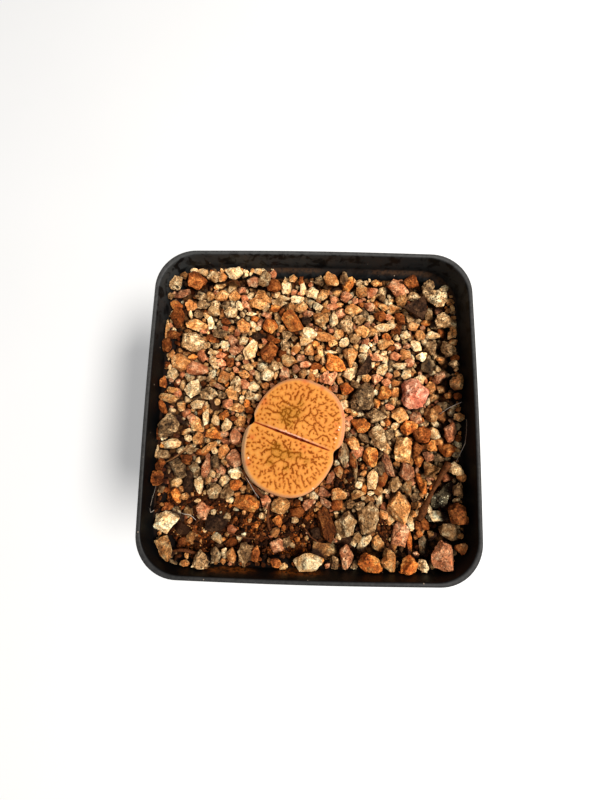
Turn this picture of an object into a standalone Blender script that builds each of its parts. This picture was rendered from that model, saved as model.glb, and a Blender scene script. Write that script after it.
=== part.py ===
"""A living stone (lithops) in a small square nursery pot.

A black plastic pot with a stepped collar holds potting mix, a top dressing of
mixed crushed stone, and one two-leaved plant that stands in a plain hole down
through both. Units are metres and +Z is up. The origin is in the middle of the
pot's foot, +X is the right and +Y the top of the reference picture.
"""
import math
import random

import bmesh
import bpy
from mathutils import Euler, Matrix, Vector, geometry

MM = 0.001
GAP = 0.3 * MM                      # clearance between pieces that touch

# Pot: a tapered body, a step, and a straight collar that ends in the rim
RIM_HALF = 32.5 * MM
COLLAR_FOOT_HALF = 32.1 * MM
BODY_TOP_HALF = 30.7 * MM
BODY_FOOT_HALF = 23.0 * MM
FOOT_CHAMFER = 0.6 * MM
RECESS_HALF = 16.0 * MM
RECESS_DEPTH = 1.0 * MM
POT_HEIGHT = 58.0 * MM
STEP_TOP_Z = 52.1 * MM
STEP_FOOT_Z = 51.5 * MM
WALL = 0.9 * MM
CORNER_RADIUS = 7.8 * MM            # of the rim, and smaller with the ring
SIDE_BOW = 0.45 * MM                # how far each side bows out in the middle
CORNER_STEPS = 5
SIDE_STEPS = 4
DRAIN_RADIUS = 2.6 * MM
DRAIN_REACH = 9.5 * MM              # from the middle, along X and along Y
DRAIN_SIDES = 20

# Fill: potting mix below, crushed stone above
MIX_TOP_Z = 46.8 * MM
BED_TOP_Z = 51.2 * MM
STONE_LEVEL_Z = 52.6 * MM           # height at which the stones' outlines were read
STONE_CORNERS = 10
STONE_REACH = (1.0, 1.22)           # its corners, as a part of its half size
STONE_MIN_LENGTH = 2.4 * MM         # smaller grit isn't worth a solid
STONE_HEIGHT = 0.80                 # part of a stone's width
STONE_LIFT = 0.22                   # height of its middle over the bed, in stone heights
STONE_TILT = math.radians(14)
STONE_TWIST = 0.3                   # how far a corner strays round the stone, in radians
FILL_TRIES = 6000
FILL_CORNERS = 8
FILL_SIZE = (2.5 * MM, 3.6 * MM)
FILL_CROWDING = 0.85                # closest two stones may come, in mean sizes
FILL_SLIMNESS = 0.85
FILL_PLANT_CLEAR = 1.1              # 1 would let their middles touch the plant
FILL_SEED = 11

# Plant: two fused leaves, widest just above the stones, tapering to a taproot
PLANT_TOP_Z = 55.8 * MM
PLANT_HALF_LENGTH = 9.7 * MM        # along the fissure
UPPER_LOBE = 12.3 * MM              # from the fissure to the far edge of each leaf
LOWER_LOBE = 12.8 * MM
OUTLINE_POWER = 2.4                 # 2 would be an ellipse
NOTCH_DEPTH = 0.75 * MM             # where the fissure meets the outline
NOTCH_HALF = 1.1 * MM
CROWN = 0.9 * MM                    # fall of each face from its middle to its edge
SHOULDER_START = 0.84               # where the face turns over, as a part of the outline
SHOULDER_DROP = 1.5 * MM
FISSURE_HALF = 0.35 * MM
FISSURE_DEPTH = 4.0 * MM
FISSURE_LIP = 1.3 * MM              # width over which each face dips to the fissure
FISSURE_DIP = 0.35 * MM
OUTLINE_STEPS = 48
HOLE_STEPS = 24
HOLE_CLEARANCE = 0.45 * MM          # its flat sides come closer to the plant than its corners
FLANK = (                           # below the face: depth under the top, size
    (3.4 * MM, 1.0),
    (5.6 * MM, 0.965),
    (9.0 * MM, 0.84),
    (13.5 * MM, 0.62),
    (18.0 * MM, 0.38),
    (22.0 * MM, 0.21),
    (28.0 * MM, 0.125),
    (36.0 * MM, 0.05),
)

# Net of sunk lines on the plant's two faces
NET_SEED = 5
NET_ROWS = 14
NET_COLUMNS = 9
NET_CELL = 1.25 * MM                # side of one cell of the joined net
NET_JITTER = 0.34 * MM
NET_KEEP = 0.80                     # share of the cell sides that are drawn
NET_INNER_EDGE = 4.0 * MM           # the joined net stops this far from the outline
NET_OUTER_EDGE = 1.5 * MM           # and the loose dashes stop this far
NET_FISSURE_EDGE = 1.0 * MM
DASH_SPACING = 1.25 * MM
DASH_SCATTER = (0.7, 1.3)
DASH_LENGTH = (0.5 * MM, 1.5 * MM)
DASH_BEND = 0.35                    # how far it strays from the radius, in radians
DASH_HUB = 0.45                     # where the radii start, as a part of a leaf's reach
DASH_RING = 0.62                    # mean radius of its rings, as a part of that reach
DASH_SEARCH = 0.1 * MM
FORK_CHANCE = 0.3
FORK_TURN = 0.9
FORK_LENGTH = 0.6
GROOVE_HALF = 0.34 * MM
GROOVE_DEPTH = 0.28 * MM
GROOVE_STEP = 0.55 * MM
BANK_HALF = 0.425 * MM

# Points that the plant's face is meshed on
FACE_RINGS = (0.975, 0.92, SHOULDER_START)
FACE_RING_NOTCH = 0.5
FACE_SPACING = 1.05 * MM
FACE_CLEAR = 0.58 * MM
POINT_SPACING = 0.26 * MM
FISSURE_STEPS = 28
FISSURE_END = 0.96                  # of the way to the outline
MIDDLE_PART = 0.05

# Reference picture: where its eye was and how it was turned, to set stones down where it
# shows them. Picture points are counted from its top left corner.
EYE = Vector((-1.37 * MM, -6.06 * MM, 121.84 * MM))
EYE_TURN = Euler((math.radians(6.85), math.radians(0.52), math.radians(1.31)))
PICTURE_MIDDLE = (300, 400)
FOCAL = 325
FISSURE_LEFT = (254.5, 422)
FISSURE_RIGHT = (333, 452)
OUTLINE_LEVEL_Z = 53.8 * MM

# Stones that stand out, by kind: place, length and width in picture points, and the turn
# of the length in degrees from the picture's right
STONES = {
    "cream": (
        (163, 523, 24, 20, 0), (250, 351, 22, 13, 80), (235, 273, 16, 13, -20),
        (209, 321, 13, 7, 85), (231, 311, 13, 11, 30), (213, 310, 12, 9, -30),
        (286, 285, 15, 12, -60), (312, 291, 13, 12, 0), (303, 286, 14, 6, 85),
        (297, 299, 13, 8, 10), (309, 333, 17, 12, -20), (305, 340, 12, 8, 0),
        (334, 319, 16, 8, 88), (385, 326, 22, 8, 8), (434, 335, 15, 8, 5),
        (406, 334, 10, 9, -30), (417, 345, 13, 9, -40), (423, 356, 11, 9, 20),
        (401, 365, 12, 7, 20), (192, 387, 18, 15, 50), (170, 444, 19, 9, 12),
        (225, 425, 13, 10, 90), (261, 366, 11, 8, -20), (267, 375, 12, 11, 0),
        (253, 386, 11, 9, 0), (350, 372, 15, 11, 50), (345, 341, 11, 8, 60),
        (331, 351, 13, 4, 5), (384, 369, 13, 9, 60), (373, 482, 18, 10, 85),
        (400, 414, 17, 14, -20), (456, 469, 14, 11, -40), (440, 518, 18, 11, 0),
        (425, 547, 17, 8, 85), (202, 562, 24, 15, 75), (308, 562, 27, 18, 10),
        (364, 545, 18, 9, 55), (175, 513, 14, 8, -60), (197, 486, 15, 9, -75),
        (234, 474, 13, 12, 0), (239, 305, 11, 8, -70), (195, 404, 14, 8, 15),
        (204, 418, 18, 6, 80), (436, 433, 12, 10, -45),
    ),
    "tan": (
        (194, 324, 24, 12, 0), (188, 303, 13, 11, 0), (257, 303, 20, 12, 5),
        (243, 324, 15, 13, -60), (262, 294, 18, 13, -35), (301, 306, 13, 11, 0),
        (324, 293, 17, 9, 40), (354, 308, 16, 12, -10), (363, 330, 14, 12, 0),
        (362, 290, 12, 11, 80), (332, 277, 16, 12, -35), (385, 343, 13, 10, 0),
        (352, 354, 20, 14, -80), (320, 349, 12, 6, -75), (309, 349, 11, 9, 80),
        (406, 354, 12, 10, -50), (168, 398, 18, 8, -12), (179, 404, 13, 9, -50),
        (196, 425, 17, 11, -50), (196, 439, 12, 10, 90), (209, 447, 19, 7, 35),
        (223, 453, 14, 9, 75), (405, 451, 26, 20, 85), (433, 415, 14, 12, -50),
        (444, 417, 11, 9, 60), (441, 441, 10, 8, 80), (456, 383, 15, 12, 70),
        (444, 359, 12, 8, -30), (431, 470, 14, 14, 0), (340, 494, 14, 13, 0),
        (398, 506, 28, 22, 75), (378, 544, 14, 11, -70), (326, 551, 26, 15, -12),
        (166, 546, 22, 13, -65), (463, 550, 13, 12, 0), (280, 507, 19, 17, 0),
        (354, 443, 14, 10, -45), (340, 472, 12, 8, -80), (403, 297, 16, 11, 75),
        (413, 325, 11, 9, 0), (163, 455, 13, 8, -5), (460, 417, 10, 8, 0),
        (231, 393, 14, 11, -60), (222, 376, 13, 12, 0), (233, 294, 11, 10, 0),
        (221, 294, 14, 10, 0), (219, 283, 14, 8, 20), (358, 495, 13, 8, 10),
        (288, 359, 18, 11, -10), (231, 557, 12, 8, -70), (385, 305, 13, 6, -25),
    ),
    "pink": (
        (253, 279, 13, 11, 0), (181, 292, 18, 8, 35), (346, 295, 12, 10, -10),
        (372, 290, 12, 10, 20), (196, 368, 22, 13, -3), (220, 362, 10, 8, 0),
        (227, 403, 11, 10, 45), (415, 394, 30, 26, 60), (452, 432, 19, 12, 80),
        (418, 418, 14, 11, -60), (430, 457, 10, 10, 0), (325, 376, 13, 8, 60),
        (331, 377, 15, 11, 60), (379, 357, 13, 7, 0), (376, 379, 10, 9, 0),
        (358, 452, 12, 10, 30), (205, 467, 20, 8, 85), (201, 511, 16, 13, -60),
        (308, 505, 12, 8, 30), (324, 494, 12, 8, -20), (327, 504, 15, 8, -35),
        (347, 559, 20, 14, 85), (401, 537, 24, 17, 80), (440, 554, 26, 23, 85),
        (277, 547, 13, 12, 40), (265, 503, 14, 9, -80), (191, 419, 12, 8, -50),
        (389, 465, 26, 9, -65), (233, 349, 11, 10, 0), (441, 377, 14, 10, 45),
        (179, 361, 19, 18, 0), (408, 473, 17, 15, -40),
    ),
    "orange": (
        (398, 287, 22, 19, -30), (386, 393, 14, 12, 60), (234, 460, 17, 14, -50),
        (420, 335, 10, 9, -40), (348, 283, 16, 12, 50), (293, 320, 25, 18, -40),
        (335, 363, 26, 17, -38), (362, 425, 18, 14, 0), (410, 427, 18, 14, 30),
        (213, 434, 17, 11, -5), (371, 458, 20, 14, -75), (246, 503, 26, 16, -5),
        (235, 485, 12, 10, 0), (433, 446, 12, 11, -50), (449, 450, 17, 13, 0),
        (408, 567, 20, 14, 80), (411, 545, 26, 6, 88), (370, 562, 22, 16, -35),
        (424, 486, 16, 8, -75), (420, 461, 11, 9, -80), (174, 495, 13, 9, -80),
        (347, 388, 13, 12, 0), (270, 325, 17, 14, -60), (384, 481, 14, 8, 80),
    ),
    "rust": (
        (196, 280, 19, 18, 0), (177, 316, 20, 13, 90), (173, 334, 12, 8, 0),
        (274, 284, 17, 14, -50), (382, 315, 14, 11, 0), (269, 351, 22, 16, 80),
        (423, 436, 18, 16, -50), (418, 450, 13, 10, 80), (401, 317, 14, 8, -60),
        (413, 279, 14, 12, -20), (432, 347, 15, 13, 70), (449, 349, 15, 13, -30),
        (428, 365, 17, 13, 70), (457, 515, 20, 18, -60), (254, 556, 14, 9, 70),
        (232, 544, 14, 8, 20), (166, 345, 14, 11, 60), (162, 407, 15, 6, -60),
        (156, 477, 17, 13, 0), (326, 527, 36, 16, -75), (297, 513, 13, 10, 0),
        (156, 433, 12, 7, -60), (160, 464, 12, 8, 80),
    ),
    "pumice": (
        (190, 341, 26, 20, -10), (213, 275, 13, 11, 30), (199, 294, 12, 10, 0),
        (264, 277, 15, 12, 80), (441, 298, 20, 19, 20), (446, 319, 24, 16, -22),
        (416, 295, 13, 9, 0), (321, 319, 16, 13, -10), (347, 324, 15, 12, -50),
        (279, 301, 16, 9, -10), (235, 383, 14, 12, 80), (206, 394, 20, 13, -10),
        (249, 395, 12, 8, -10), (169, 425, 26, 19, 80), (347, 524, 26, 21, 80),
        (370, 519, 32, 21, 85), (388, 562, 20, 16, -60), (451, 533, 22, 15, -25),
        (245, 554, 22, 16, 70), (378, 438, 26, 17, -70), (376, 415, 20, 14, 0),
        (215, 556, 12, 10, 80), (213, 362, 13, 8, -60), (194, 470, 13, 9, -60),
        (214, 491, 15, 13, 80), (344, 453, 24, 10, -85), (285, 344, 11, 9, 80),
        (237, 407, 14, 9, 0), (395, 485, 15, 12, 70), (424, 567, 13, 9, -75),
    ),
    "grey": (
        (177, 283, 14, 13, 0), (430, 285, 18, 11, 75), (431, 312, 16, 7, 85),
        (436, 324, 12, 9, -50), (320, 278, 11, 9, 0), (344, 276, 12, 8, 80),
        (219, 332, 14, 9, 0), (202, 303, 14, 9, 0), (362, 400, 30, 25, 80),
        (365, 438, 14, 7, -40), (390, 435, 12, 10, 60), (380, 468, 12, 10, 80),
        (214, 461, 12, 8, 85), (177, 468, 21, 14, -50), (226, 493, 16, 11, 60),
        (181, 531, 17, 10, -30), (456, 490, 12, 9, 80), (443, 497, 27, 13, 62),
        (447, 405, 14, 8, 0), (318, 535, 14, 12, 0),
    ),
    "bark": (
        (415, 309, 26, 17, 20), (364, 366, 20, 12, 50), (256, 335, 17, 7, 0),
        (187, 483, 26, 10, -88), (213, 404, 14, 8, -60), (325, 335, 22, 9, -3),
        (215, 524, 22, 16, 0), (433, 492, 46, 6, 64),
    ),
}


def clear_scene():
    """Remove whatever the scene holds."""
    for item in list(bpy.data.objects):
        bpy.data.objects.remove(item, do_unlink=True)


def new_collection(name):
    """Make a collection in the scene."""
    group = bpy.data.collections.new(name)
    bpy.context.scene.collection.children.link(group)
    return group


def material(name, colour, roughness):
    """Make a plain surface of one colour."""
    surface = bpy.data.materials.new(name)
    surface.use_nodes = True
    shader = surface.node_tree.nodes["Principled BSDF"]
    shader.inputs["Base Color"].default_value = (*colour, 1.0)
    shader.inputs["Roughness"].default_value = roughness
    shader.inputs["Metallic"].default_value = 0.0
    return surface


def mesh_object(name, group, mesh_data, surface=None):
    """Turn a bmesh into a named object in a collection."""
    bmesh.ops.recalc_face_normals(mesh_data, faces=mesh_data.faces)
    mesh = bpy.data.meshes.new(name)
    mesh_data.to_mesh(mesh)
    mesh_data.free()
    item = bpy.data.objects.new(name, mesh)
    group.objects.link(item)
    if surface:
        mesh.materials.append(surface)
    return item


def shade(item, angle):
    """Smooth an object's round stretches and keep its edges."""
    item.data.shade_smooth()
    item.data.set_sharp_from_angle(angle=angle)


def apply_modifiers(item):
    """Replace an object's mesh by what its modifiers make of it."""
    graph = bpy.context.evaluated_depsgraph_get()
    graph.update()
    mesh = bpy.data.meshes.new_from_object(item.evaluated_get(graph))
    item.modifiers.clear()
    item.data = mesh


def remove_all(group):
    """Remove a collection with its objects."""
    for item in list(group.objects):
        bpy.data.objects.remove(item, do_unlink=True)
    bpy.data.collections.remove(group)


def boolean(item, operation, tool):
    """Cut, join or trim an object with another one or with a collection."""
    step = item.modifiers.new(operation.lower(), "BOOLEAN")
    step.operation = operation
    step.solver = "EXACT"
    if isinstance(tool, bpy.types.Collection):
        step.operand_type = "COLLECTION"
        step.collection = tool
    else:
        step.object = tool
    apply_modifiers(item)


def square_ring(half, z):
    """Points of a rounded square with bowed sides, all the way round at one height."""
    radius = CORNER_RADIUS * half / RIM_HALF
    flat = half - radius
    points = []
    for quarter in range(4):
        turn = Matrix.Rotation(quarter * math.pi / 2, 2)
        for step in range(CORNER_STEPS + 1):
            angle = math.pi / 2 * step / CORNER_STEPS
            corner = Vector((flat + radius * math.cos(angle), flat + radius * math.sin(angle)))
            points.append(turn @ corner)
        for step in range(1, SIDE_STEPS):
            across = flat - 2 * flat * step / SIDE_STEPS
            bow = SIDE_BOW * math.cos(math.pi / 2 * across / flat)
            points.append(turn @ Vector((across, half + bow)))
    return [Vector((point.x, point.y, z)) for point in points]


def loft(rings, close_start=True, close_end=True):
    """Join rings of equally many points into one skin, with a flat face at closed ends."""
    skin = bmesh.new()
    loops = [[skin.verts.new(point) for point in ring] for ring in rings]
    count = len(loops[0])
    for lower, upper in zip(loops, loops[1:]):
        for index in range(count):
            after = (index + 1) % count
            skin.faces.new((lower[index], lower[after], upper[after], upper[index]))
    if close_start:
        skin.faces.new(reversed(loops[0]))
    if close_end:
        skin.faces.new(loops[-1])
    return skin


def body_half(z):
    """Outer half width of the pot's tapered body at a height."""
    part = (z - FOOT_CHAMFER) / (STEP_FOOT_Z - FOOT_CHAMFER)
    return BODY_FOOT_HALF + (BODY_TOP_HALF - BODY_FOOT_HALF) * part


def make_pot(group):
    """The pot: one thin shell with a recessed foot, drain holes, a step and a collar."""
    rings = [
        square_ring(RECESS_HALF - RECESS_DEPTH, RECESS_DEPTH),
        square_ring(RECESS_HALF, 0),
        square_ring(BODY_FOOT_HALF - FOOT_CHAMFER, 0),
        square_ring(BODY_FOOT_HALF, FOOT_CHAMFER),
        square_ring(BODY_TOP_HALF, STEP_FOOT_Z),
        square_ring(COLLAR_FOOT_HALF, STEP_TOP_Z),
        square_ring(RIM_HALF, POT_HEIGHT),
    ]
    pot = mesh_object("pot", group, loft(rings, close_end=False),
                      material("black_plastic", (0.018, 0.018, 0.019), 0.42))
    shell = pot.modifiers.new("wall", "SOLIDIFY")
    shell.thickness = WALL
    shell.offset = -1
    shell.use_even_offset = True
    apply_modifiers(pot)
    places = [(0, 0)] + [(x, y) for x in (-DRAIN_REACH, DRAIN_REACH) for y in (-DRAIN_REACH, DRAIN_REACH)]
    drains = new_collection("drain_cutters")
    for index, (x, y) in enumerate(places):
        drill = bmesh.new()
        bmesh.ops.create_cone(drill, cap_ends=True, segments=DRAIN_SIDES, radius1=DRAIN_RADIUS,
                              radius2=DRAIN_RADIUS, depth=8 * WALL,
                              matrix=Matrix.Translation((x, y, RECESS_DEPTH)))
        mesh_object(f"drain_{index}", drains, drill)
    boolean(pot, "DIFFERENCE", drains)
    remove_all(drains)
    shade(pot, math.radians(30))
    return pot


def plant_axes():
    """Middle of the fissure and the directions along and across it, on the ground plan."""
    left = below_picture(*FISSURE_LEFT, OUTLINE_LEVEL_Z)
    right = below_picture(*FISSURE_RIGHT, OUTLINE_LEVEL_Z)
    along = (right - left).normalized()
    return (left + right) / 2, along, Vector((-along.y, along.x))


def below_picture(px, py, z):
    """Ground-plan point that the reference picture shows at (px, py), at a given height."""
    ray = EYE_TURN.to_matrix() @ Vector((px - PICTURE_MIDDLE[0], PICTURE_MIDDLE[1] - py, -FOCAL))
    point = EYE + ray * ((z - EYE.z) / ray.z)
    return point.xy


def lobe_reach(v):
    """Reach of the leaf on that side of the fissure."""
    return UPPER_LOBE if v > 0 else LOWER_LOBE


def outline_part(u, v):
    """How far out a point of the plan is: 0 in the middle, 1 on the outline."""
    across = abs(u) / PLANT_HALF_LENGTH
    away = abs(v) / lobe_reach(v)
    return (across ** OUTLINE_POWER + away ** OUTLINE_POWER) ** (1 / OUTLINE_POWER)


def outline_point(angle, size, notch):
    """Point of the plant's outline in a direction, scaled, with a share of its notches."""
    u, v = math.cos(angle), math.sin(angle)
    reach = size / outline_part(u, v)
    u, v = u * reach, v * reach
    pinch = notch * NOTCH_DEPTH * math.exp(-(v / NOTCH_HALF) ** 2)
    return Vector((u - math.copysign(pinch, u), v))


def face_height(u, v):
    """Depth of the plant's face under its top, without the net."""
    part = min(outline_part(u, v), 1.0)
    depth = CROWN * part ** 2
    if part > SHOULDER_START:
        turn = (part - SHOULDER_START) / (1 - SHOULDER_START)
        depth += SHOULDER_DROP * (1 - math.sqrt(max(0.0, 1 - turn ** 2)))
    off = abs(v)
    if off < FISSURE_HALF:
        depth += FISSURE_DIP + (FISSURE_DEPTH - FISSURE_DIP) * (1 - off / FISSURE_HALF)
    elif off < FISSURE_HALF + FISSURE_LIP:
        depth += FISSURE_DIP * (1 - (off - FISSURE_HALF) / FISSURE_LIP) ** 2
    return depth


def edge_distance(u, v):
    """Rough distance of a plan point from the plant's outline."""
    part = outline_part(u, v)
    return (1 - part) * math.hypot(u, v) / max(part, MIDDLE_PART)


def marked(u, v, edge):
    """Whether the net may reach a point, given how far it stays from the outline."""
    return edge_distance(u, v) > edge and abs(v) > NET_FISSURE_EDGE


def net_lines():
    """Short straight lines of the net: joined cells in the middle, dashes round them."""
    draw = random.Random(NET_SEED)
    corners = {}
    lines = []
    for row in range(-NET_ROWS, NET_ROWS + 1):
        for column in range(-NET_COLUMNS, NET_COLUMNS + 1):
            x = column * NET_CELL * math.sqrt(3) / 2
            y = row * NET_CELL * 1.5 + (0.5 * NET_CELL if (row + column) % 2 else 0)
            corners[row, column] = Vector((x + draw.uniform(-NET_JITTER, NET_JITTER),
                                           y + draw.uniform(-NET_JITTER, NET_JITTER)))
    for (row, column), corner in corners.items():
        ends = [(row, column + 1)]
        if (row + column) % 2:
            ends.append((row + 1, column))
        for end in ends:
            keep = draw.random() < NET_KEEP
            other = corners.get(end)
            if other and keep and marked(*corner, NET_INNER_EDGE) and marked(*other, NET_INNER_EDGE):
                lines.append((corner, other))
    for side in (-1, 1):
        hub = Vector((0, side * lobe_reach(side) * DASH_HUB))
        edge = NET_OUTER_EDGE
        while edge < NET_INNER_EDGE + NET_CELL / 2:
            radius = lobe_reach(side) * DASH_RING - edge
            angle = draw.uniform(0, 1)
            while angle < 2 * math.pi:
                lines.extend(dash(draw, hub, angle, edge))
                angle += DASH_SPACING / radius * draw.uniform(*DASH_SCATTER)
            edge += DASH_SPACING
    return lines


def dash(draw, hub, angle, edge):
    """One loose line that runs in from a set distance off the outline, at times forked."""
    way = Vector((math.cos(angle), math.sin(angle)))
    reach = 0.0
    while marked(*(hub + way * reach), edge):
        reach += DASH_SEARCH
    length = draw.uniform(*DASH_LENGTH)
    bend = draw.uniform(-DASH_BEND, DASH_BEND)
    fork = draw.random() < FORK_CHANCE
    start = hub + way * reach
    end = start - Matrix.Rotation(bend, 2) @ way * length
    if reach < 2 * DASH_LENGTH[1] or not marked(*end, edge):
        return []
    if not fork:
        return [(start, end)]
    branch = end - Matrix.Rotation(bend + FORK_TURN, 2) @ way * length * FORK_LENGTH
    return [(start, end), (end, branch)]


def groove_points(lines):
    """Points down the middle of each line, and points on both its banks."""
    middles = []
    banks = []
    for start, end in lines:
        way = (end - start).normalized()
        across = Vector((-way.y, way.x)) * BANK_HALF
        count = max(1, round((end - start).length / GROOVE_STEP))
        for step in range(count + 1):
            point = start.lerp(end, step / count)
            middles.append(point)
            banks.extend((point + across, point - across))
    return middles, banks


def groove_depth(point, lines):
    """Depth of the net at a point: full on a line, none past its banks."""
    nearest = GROOVE_HALF * 2
    for start, end in lines:
        closest, part = geometry.intersect_point_line(point, start, end)
        closest = start.lerp(end, min(max(part, 0.0), 1.0))
        nearest = min(nearest, (point.to_2d() - closest.to_2d()).length)
    return GROOVE_DEPTH * max(0.0, 1 - nearest / GROOVE_HALF)


def face_points(lines):
    """All the points of the plant's face, the ones that matter most first."""
    chosen = []

    def add(point):
        if all((point - other).length > POINT_SPACING for other in chosen):
            chosen.append(point)

    angles = [2 * math.pi * step / OUTLINE_STEPS for step in range(OUTLINE_STEPS)]
    for angle in angles:
        chosen.append(outline_point(angle, 1.0, 1.0))
    for size in FACE_RINGS:
        for angle in angles:
            add(outline_point(angle, size, FACE_RING_NOTCH))
    for off in (0, FISSURE_HALF, -FISSURE_HALF):
        for step in range(1, FISSURE_STEPS):
            u = PLANT_HALF_LENGTH * (2 * step / FISSURE_STEPS - 1)
            if outline_part(u, off) < FISSURE_END:
                add(Vector((u, off)))
    middles, banks = groove_points(lines)
    for point in middles + banks:
        if outline_part(*point) < SHOULDER_START:
            add(point)
    rows = round(lobe_reach(-1) / FACE_SPACING) + 1
    for row in range(-rows, rows + 1):
        for column in range(-rows, rows + 1):
            point = Vector((column + row % 2 / 2, row * math.sqrt(3) / 2)) * FACE_SPACING
            if outline_part(*point) < SHOULDER_START:
                if all((point - other).length > FACE_CLEAR for other in chosen):
                    chosen.append(point)
    return chosen


def plant_ring(size, notch, z, steps=OUTLINE_STEPS, grow=0.0):
    """One ring of the plant's flank in the pot's frame, grown by a clearance if asked."""
    middle, along, across = plant_axes()
    scale = size + grow / PLANT_HALF_LENGTH
    ring = []
    for step in range(steps):
        point = outline_point(2 * math.pi * step / steps, scale, notch)
        plan = middle + along * point.x + across * point.y
        ring.append(Vector((plan.x, plan.y, z)))
    return ring


def make_lithops(group):
    """The plant: two faces with a net of sunk lines, a fissure, flanks and a taproot."""
    middle, along, across = plant_axes()
    lines = net_lines()
    plan = face_points(lines)
    loop = list(range(OUTLINE_STEPS))
    result = geometry.delaunay_2d_cdt(plan, [], [loop], 1, 1e-7)
    skin = bmesh.new()
    verts = []
    for point in result[0]:
        spot = middle + along * point.x + across * point.y
        depth = face_height(*point) + groove_depth(point, lines)
        verts.append(skin.verts.new((spot.x, spot.y, PLANT_TOP_Z - depth)))
    for corners in result[2]:
        skin.faces.new([verts[index] for index in corners])
    upper = [verts[index] for index in loop]
    for depth, size in FLANK:
        notch = max(0.0, 1 - depth / FISSURE_DEPTH / 2)
        lower = [skin.verts.new(point) for point in plant_ring(size, notch, PLANT_TOP_Z - depth)]
        for index in loop:
            after = (index + 1) % OUTLINE_STEPS
            skin.faces.new((upper[index], upper[after], lower[after], lower[index]))
        upper = lower
    skin.faces.new(upper)
    plant = mesh_object("lithops", group, skin, material("leaf_skin", (0.72, 0.31, 0.10), 0.5))
    shade(plant, math.radians(50))
    return plant


def plant_cutter(group):
    """The plain hole that the plant stands in: its own form, grown by the clearance."""
    rings = [plant_ring(1.0, 0.0, POT_HEIGHT + WALL, HOLE_STEPS, HOLE_CLEARANCE)]
    for depth, size in FLANK[1:]:
        z = PLANT_TOP_Z - depth - HOLE_CLEARANCE
        rings.append(plant_ring(size, 0.0, z, HOLE_STEPS, HOLE_CLEARANCE))
    rings.insert(1, plant_ring(1.0, 0.0, PLANT_TOP_Z - FLANK[0][0], HOLE_STEPS, HOLE_CLEARANCE))
    cutter = mesh_object("plant_hole", group, loft(rings))
    cutter.hide_render = True
    cutter.display_type = "WIRE"
    return cutter


def inner_half(z):
    """Half width left inside the pot's body wall for what fills it."""
    return body_half(z) - WALL - GAP


def make_mix(group, hole):
    """Potting mix: fills the pot's body from its recessed floor up to the stones."""
    floor_z = WALL + GAP
    raised_z = RECESS_DEPTH + WALL + GAP
    raised_half = RECESS_HALF + WALL
    rings = [
        square_ring(raised_half - RECESS_DEPTH, raised_z),
        square_ring(raised_half + GAP, floor_z),
        square_ring(inner_half(floor_z) - GAP, floor_z),
        square_ring(inner_half(MIX_TOP_Z), MIX_TOP_Z),
    ]
    mix = mesh_object("potting_mix", group, loft(rings), material("dark_peat", (0.07, 0.035, 0.02), 0.95))
    boolean(mix, "DIFFERENCE", hole)
    shade(mix, math.radians(30))
    return mix


def stone_hull(seed, corners, length, width, turn):
    """A crushed stone: the hull of a few points round its middle, squashed and turned."""
    draw = random.Random(seed)
    hull = bmesh.new()
    for index in range(corners):
        rise = 1 - 2 * (index + 0.5) / corners
        angle = index * math.pi * (3 - math.sqrt(5)) + draw.uniform(-STONE_TWIST, STONE_TWIST)
        flat = math.sqrt(1 - rise * rise)
        reach = draw.uniform(*STONE_REACH)
        hull.verts.new((flat * math.cos(angle) * reach, flat * math.sin(angle) * reach, rise * reach))
    made = bmesh.ops.convex_hull(hull, input=hull.verts)
    bmesh.ops.delete(hull, geom=made["geom_interior"], context="VERTS")
    tilt = Euler((draw.uniform(-STONE_TILT, STONE_TILT), draw.uniform(-STONE_TILT, STONE_TILT), turn))
    size = Matrix.Diagonal((length / 2, width / 2, STONE_HEIGHT * width / 2, 1))
    hull.transform(tilt.to_matrix().to_4x4() @ size)
    return hull


def fill_places(taken):
    """Stones in the room between those that stand out, drawn until it is full."""
    draw = random.Random(FILL_SEED)
    places = []
    reach = inner_half(BED_TOP_Z)
    middle, along, across = plant_axes()
    for attempt in range(FILL_TRIES):
        spot = Vector((draw.uniform(-reach, reach), draw.uniform(-reach, reach)))
        size = draw.uniform(*FILL_SIZE)
        turn = draw.uniform(0, math.pi)
        off = spot - middle
        clear = outline_part(off.dot(along), off.dot(across)) > FILL_PLANT_CLEAR
        if clear and all((spot - other).length > FILL_CROWDING * (size + span) / 2 for other, span in taken):
            taken.append((spot, size))
            places.append((spot, FILL_CORNERS, size, FILL_SLIMNESS * size, turn, attempt))
    return places


def stone_places():
    """Every stone as (place, corners, length, width, turn, seed)."""
    scale = (EYE.z - STONE_LEVEL_Z) / FOCAL
    places = []
    taken = []
    for rows in STONES.values():
        for px, py, picture_length, picture_width, degrees in rows:
            spot = below_picture(px, py, STONE_LEVEL_Z)
            length = picture_length * scale
            width = picture_width * scale
            seed = px * 1000 + py
            if length >= STONE_MIN_LENGTH:
                places.append((spot, STONE_CORNERS, length, width, math.radians(degrees), seed))
                taken.append((spot, (length + width) / 2))
    return places + fill_places(taken)


def keep_main_body(item):
    """Drop loose scraps and sealed hollows that joining the stones can leave."""
    skin = bmesh.new()
    skin.from_mesh(item.data)
    islands = []
    left = set(skin.faces)
    while left:
        island = set()
        edge_faces = [left.pop()]
        while edge_faces:
            face = edge_faces.pop()
            island.add(face)
            for edge in face.edges:
                for other in edge.link_faces:
                    if other in left:
                        left.remove(other)
                        edge_faces.append(other)
        islands.append(island)
    islands.sort(key=len)
    for island in islands[:-1]:
        bmesh.ops.delete(skin, geom=list(island), context="FACES")
    loose = [vert for vert in skin.verts if not vert.link_faces]
    bmesh.ops.delete(skin, geom=loose, context="VERTS")
    skin.to_mesh(item.data)
    skin.free()


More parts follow.
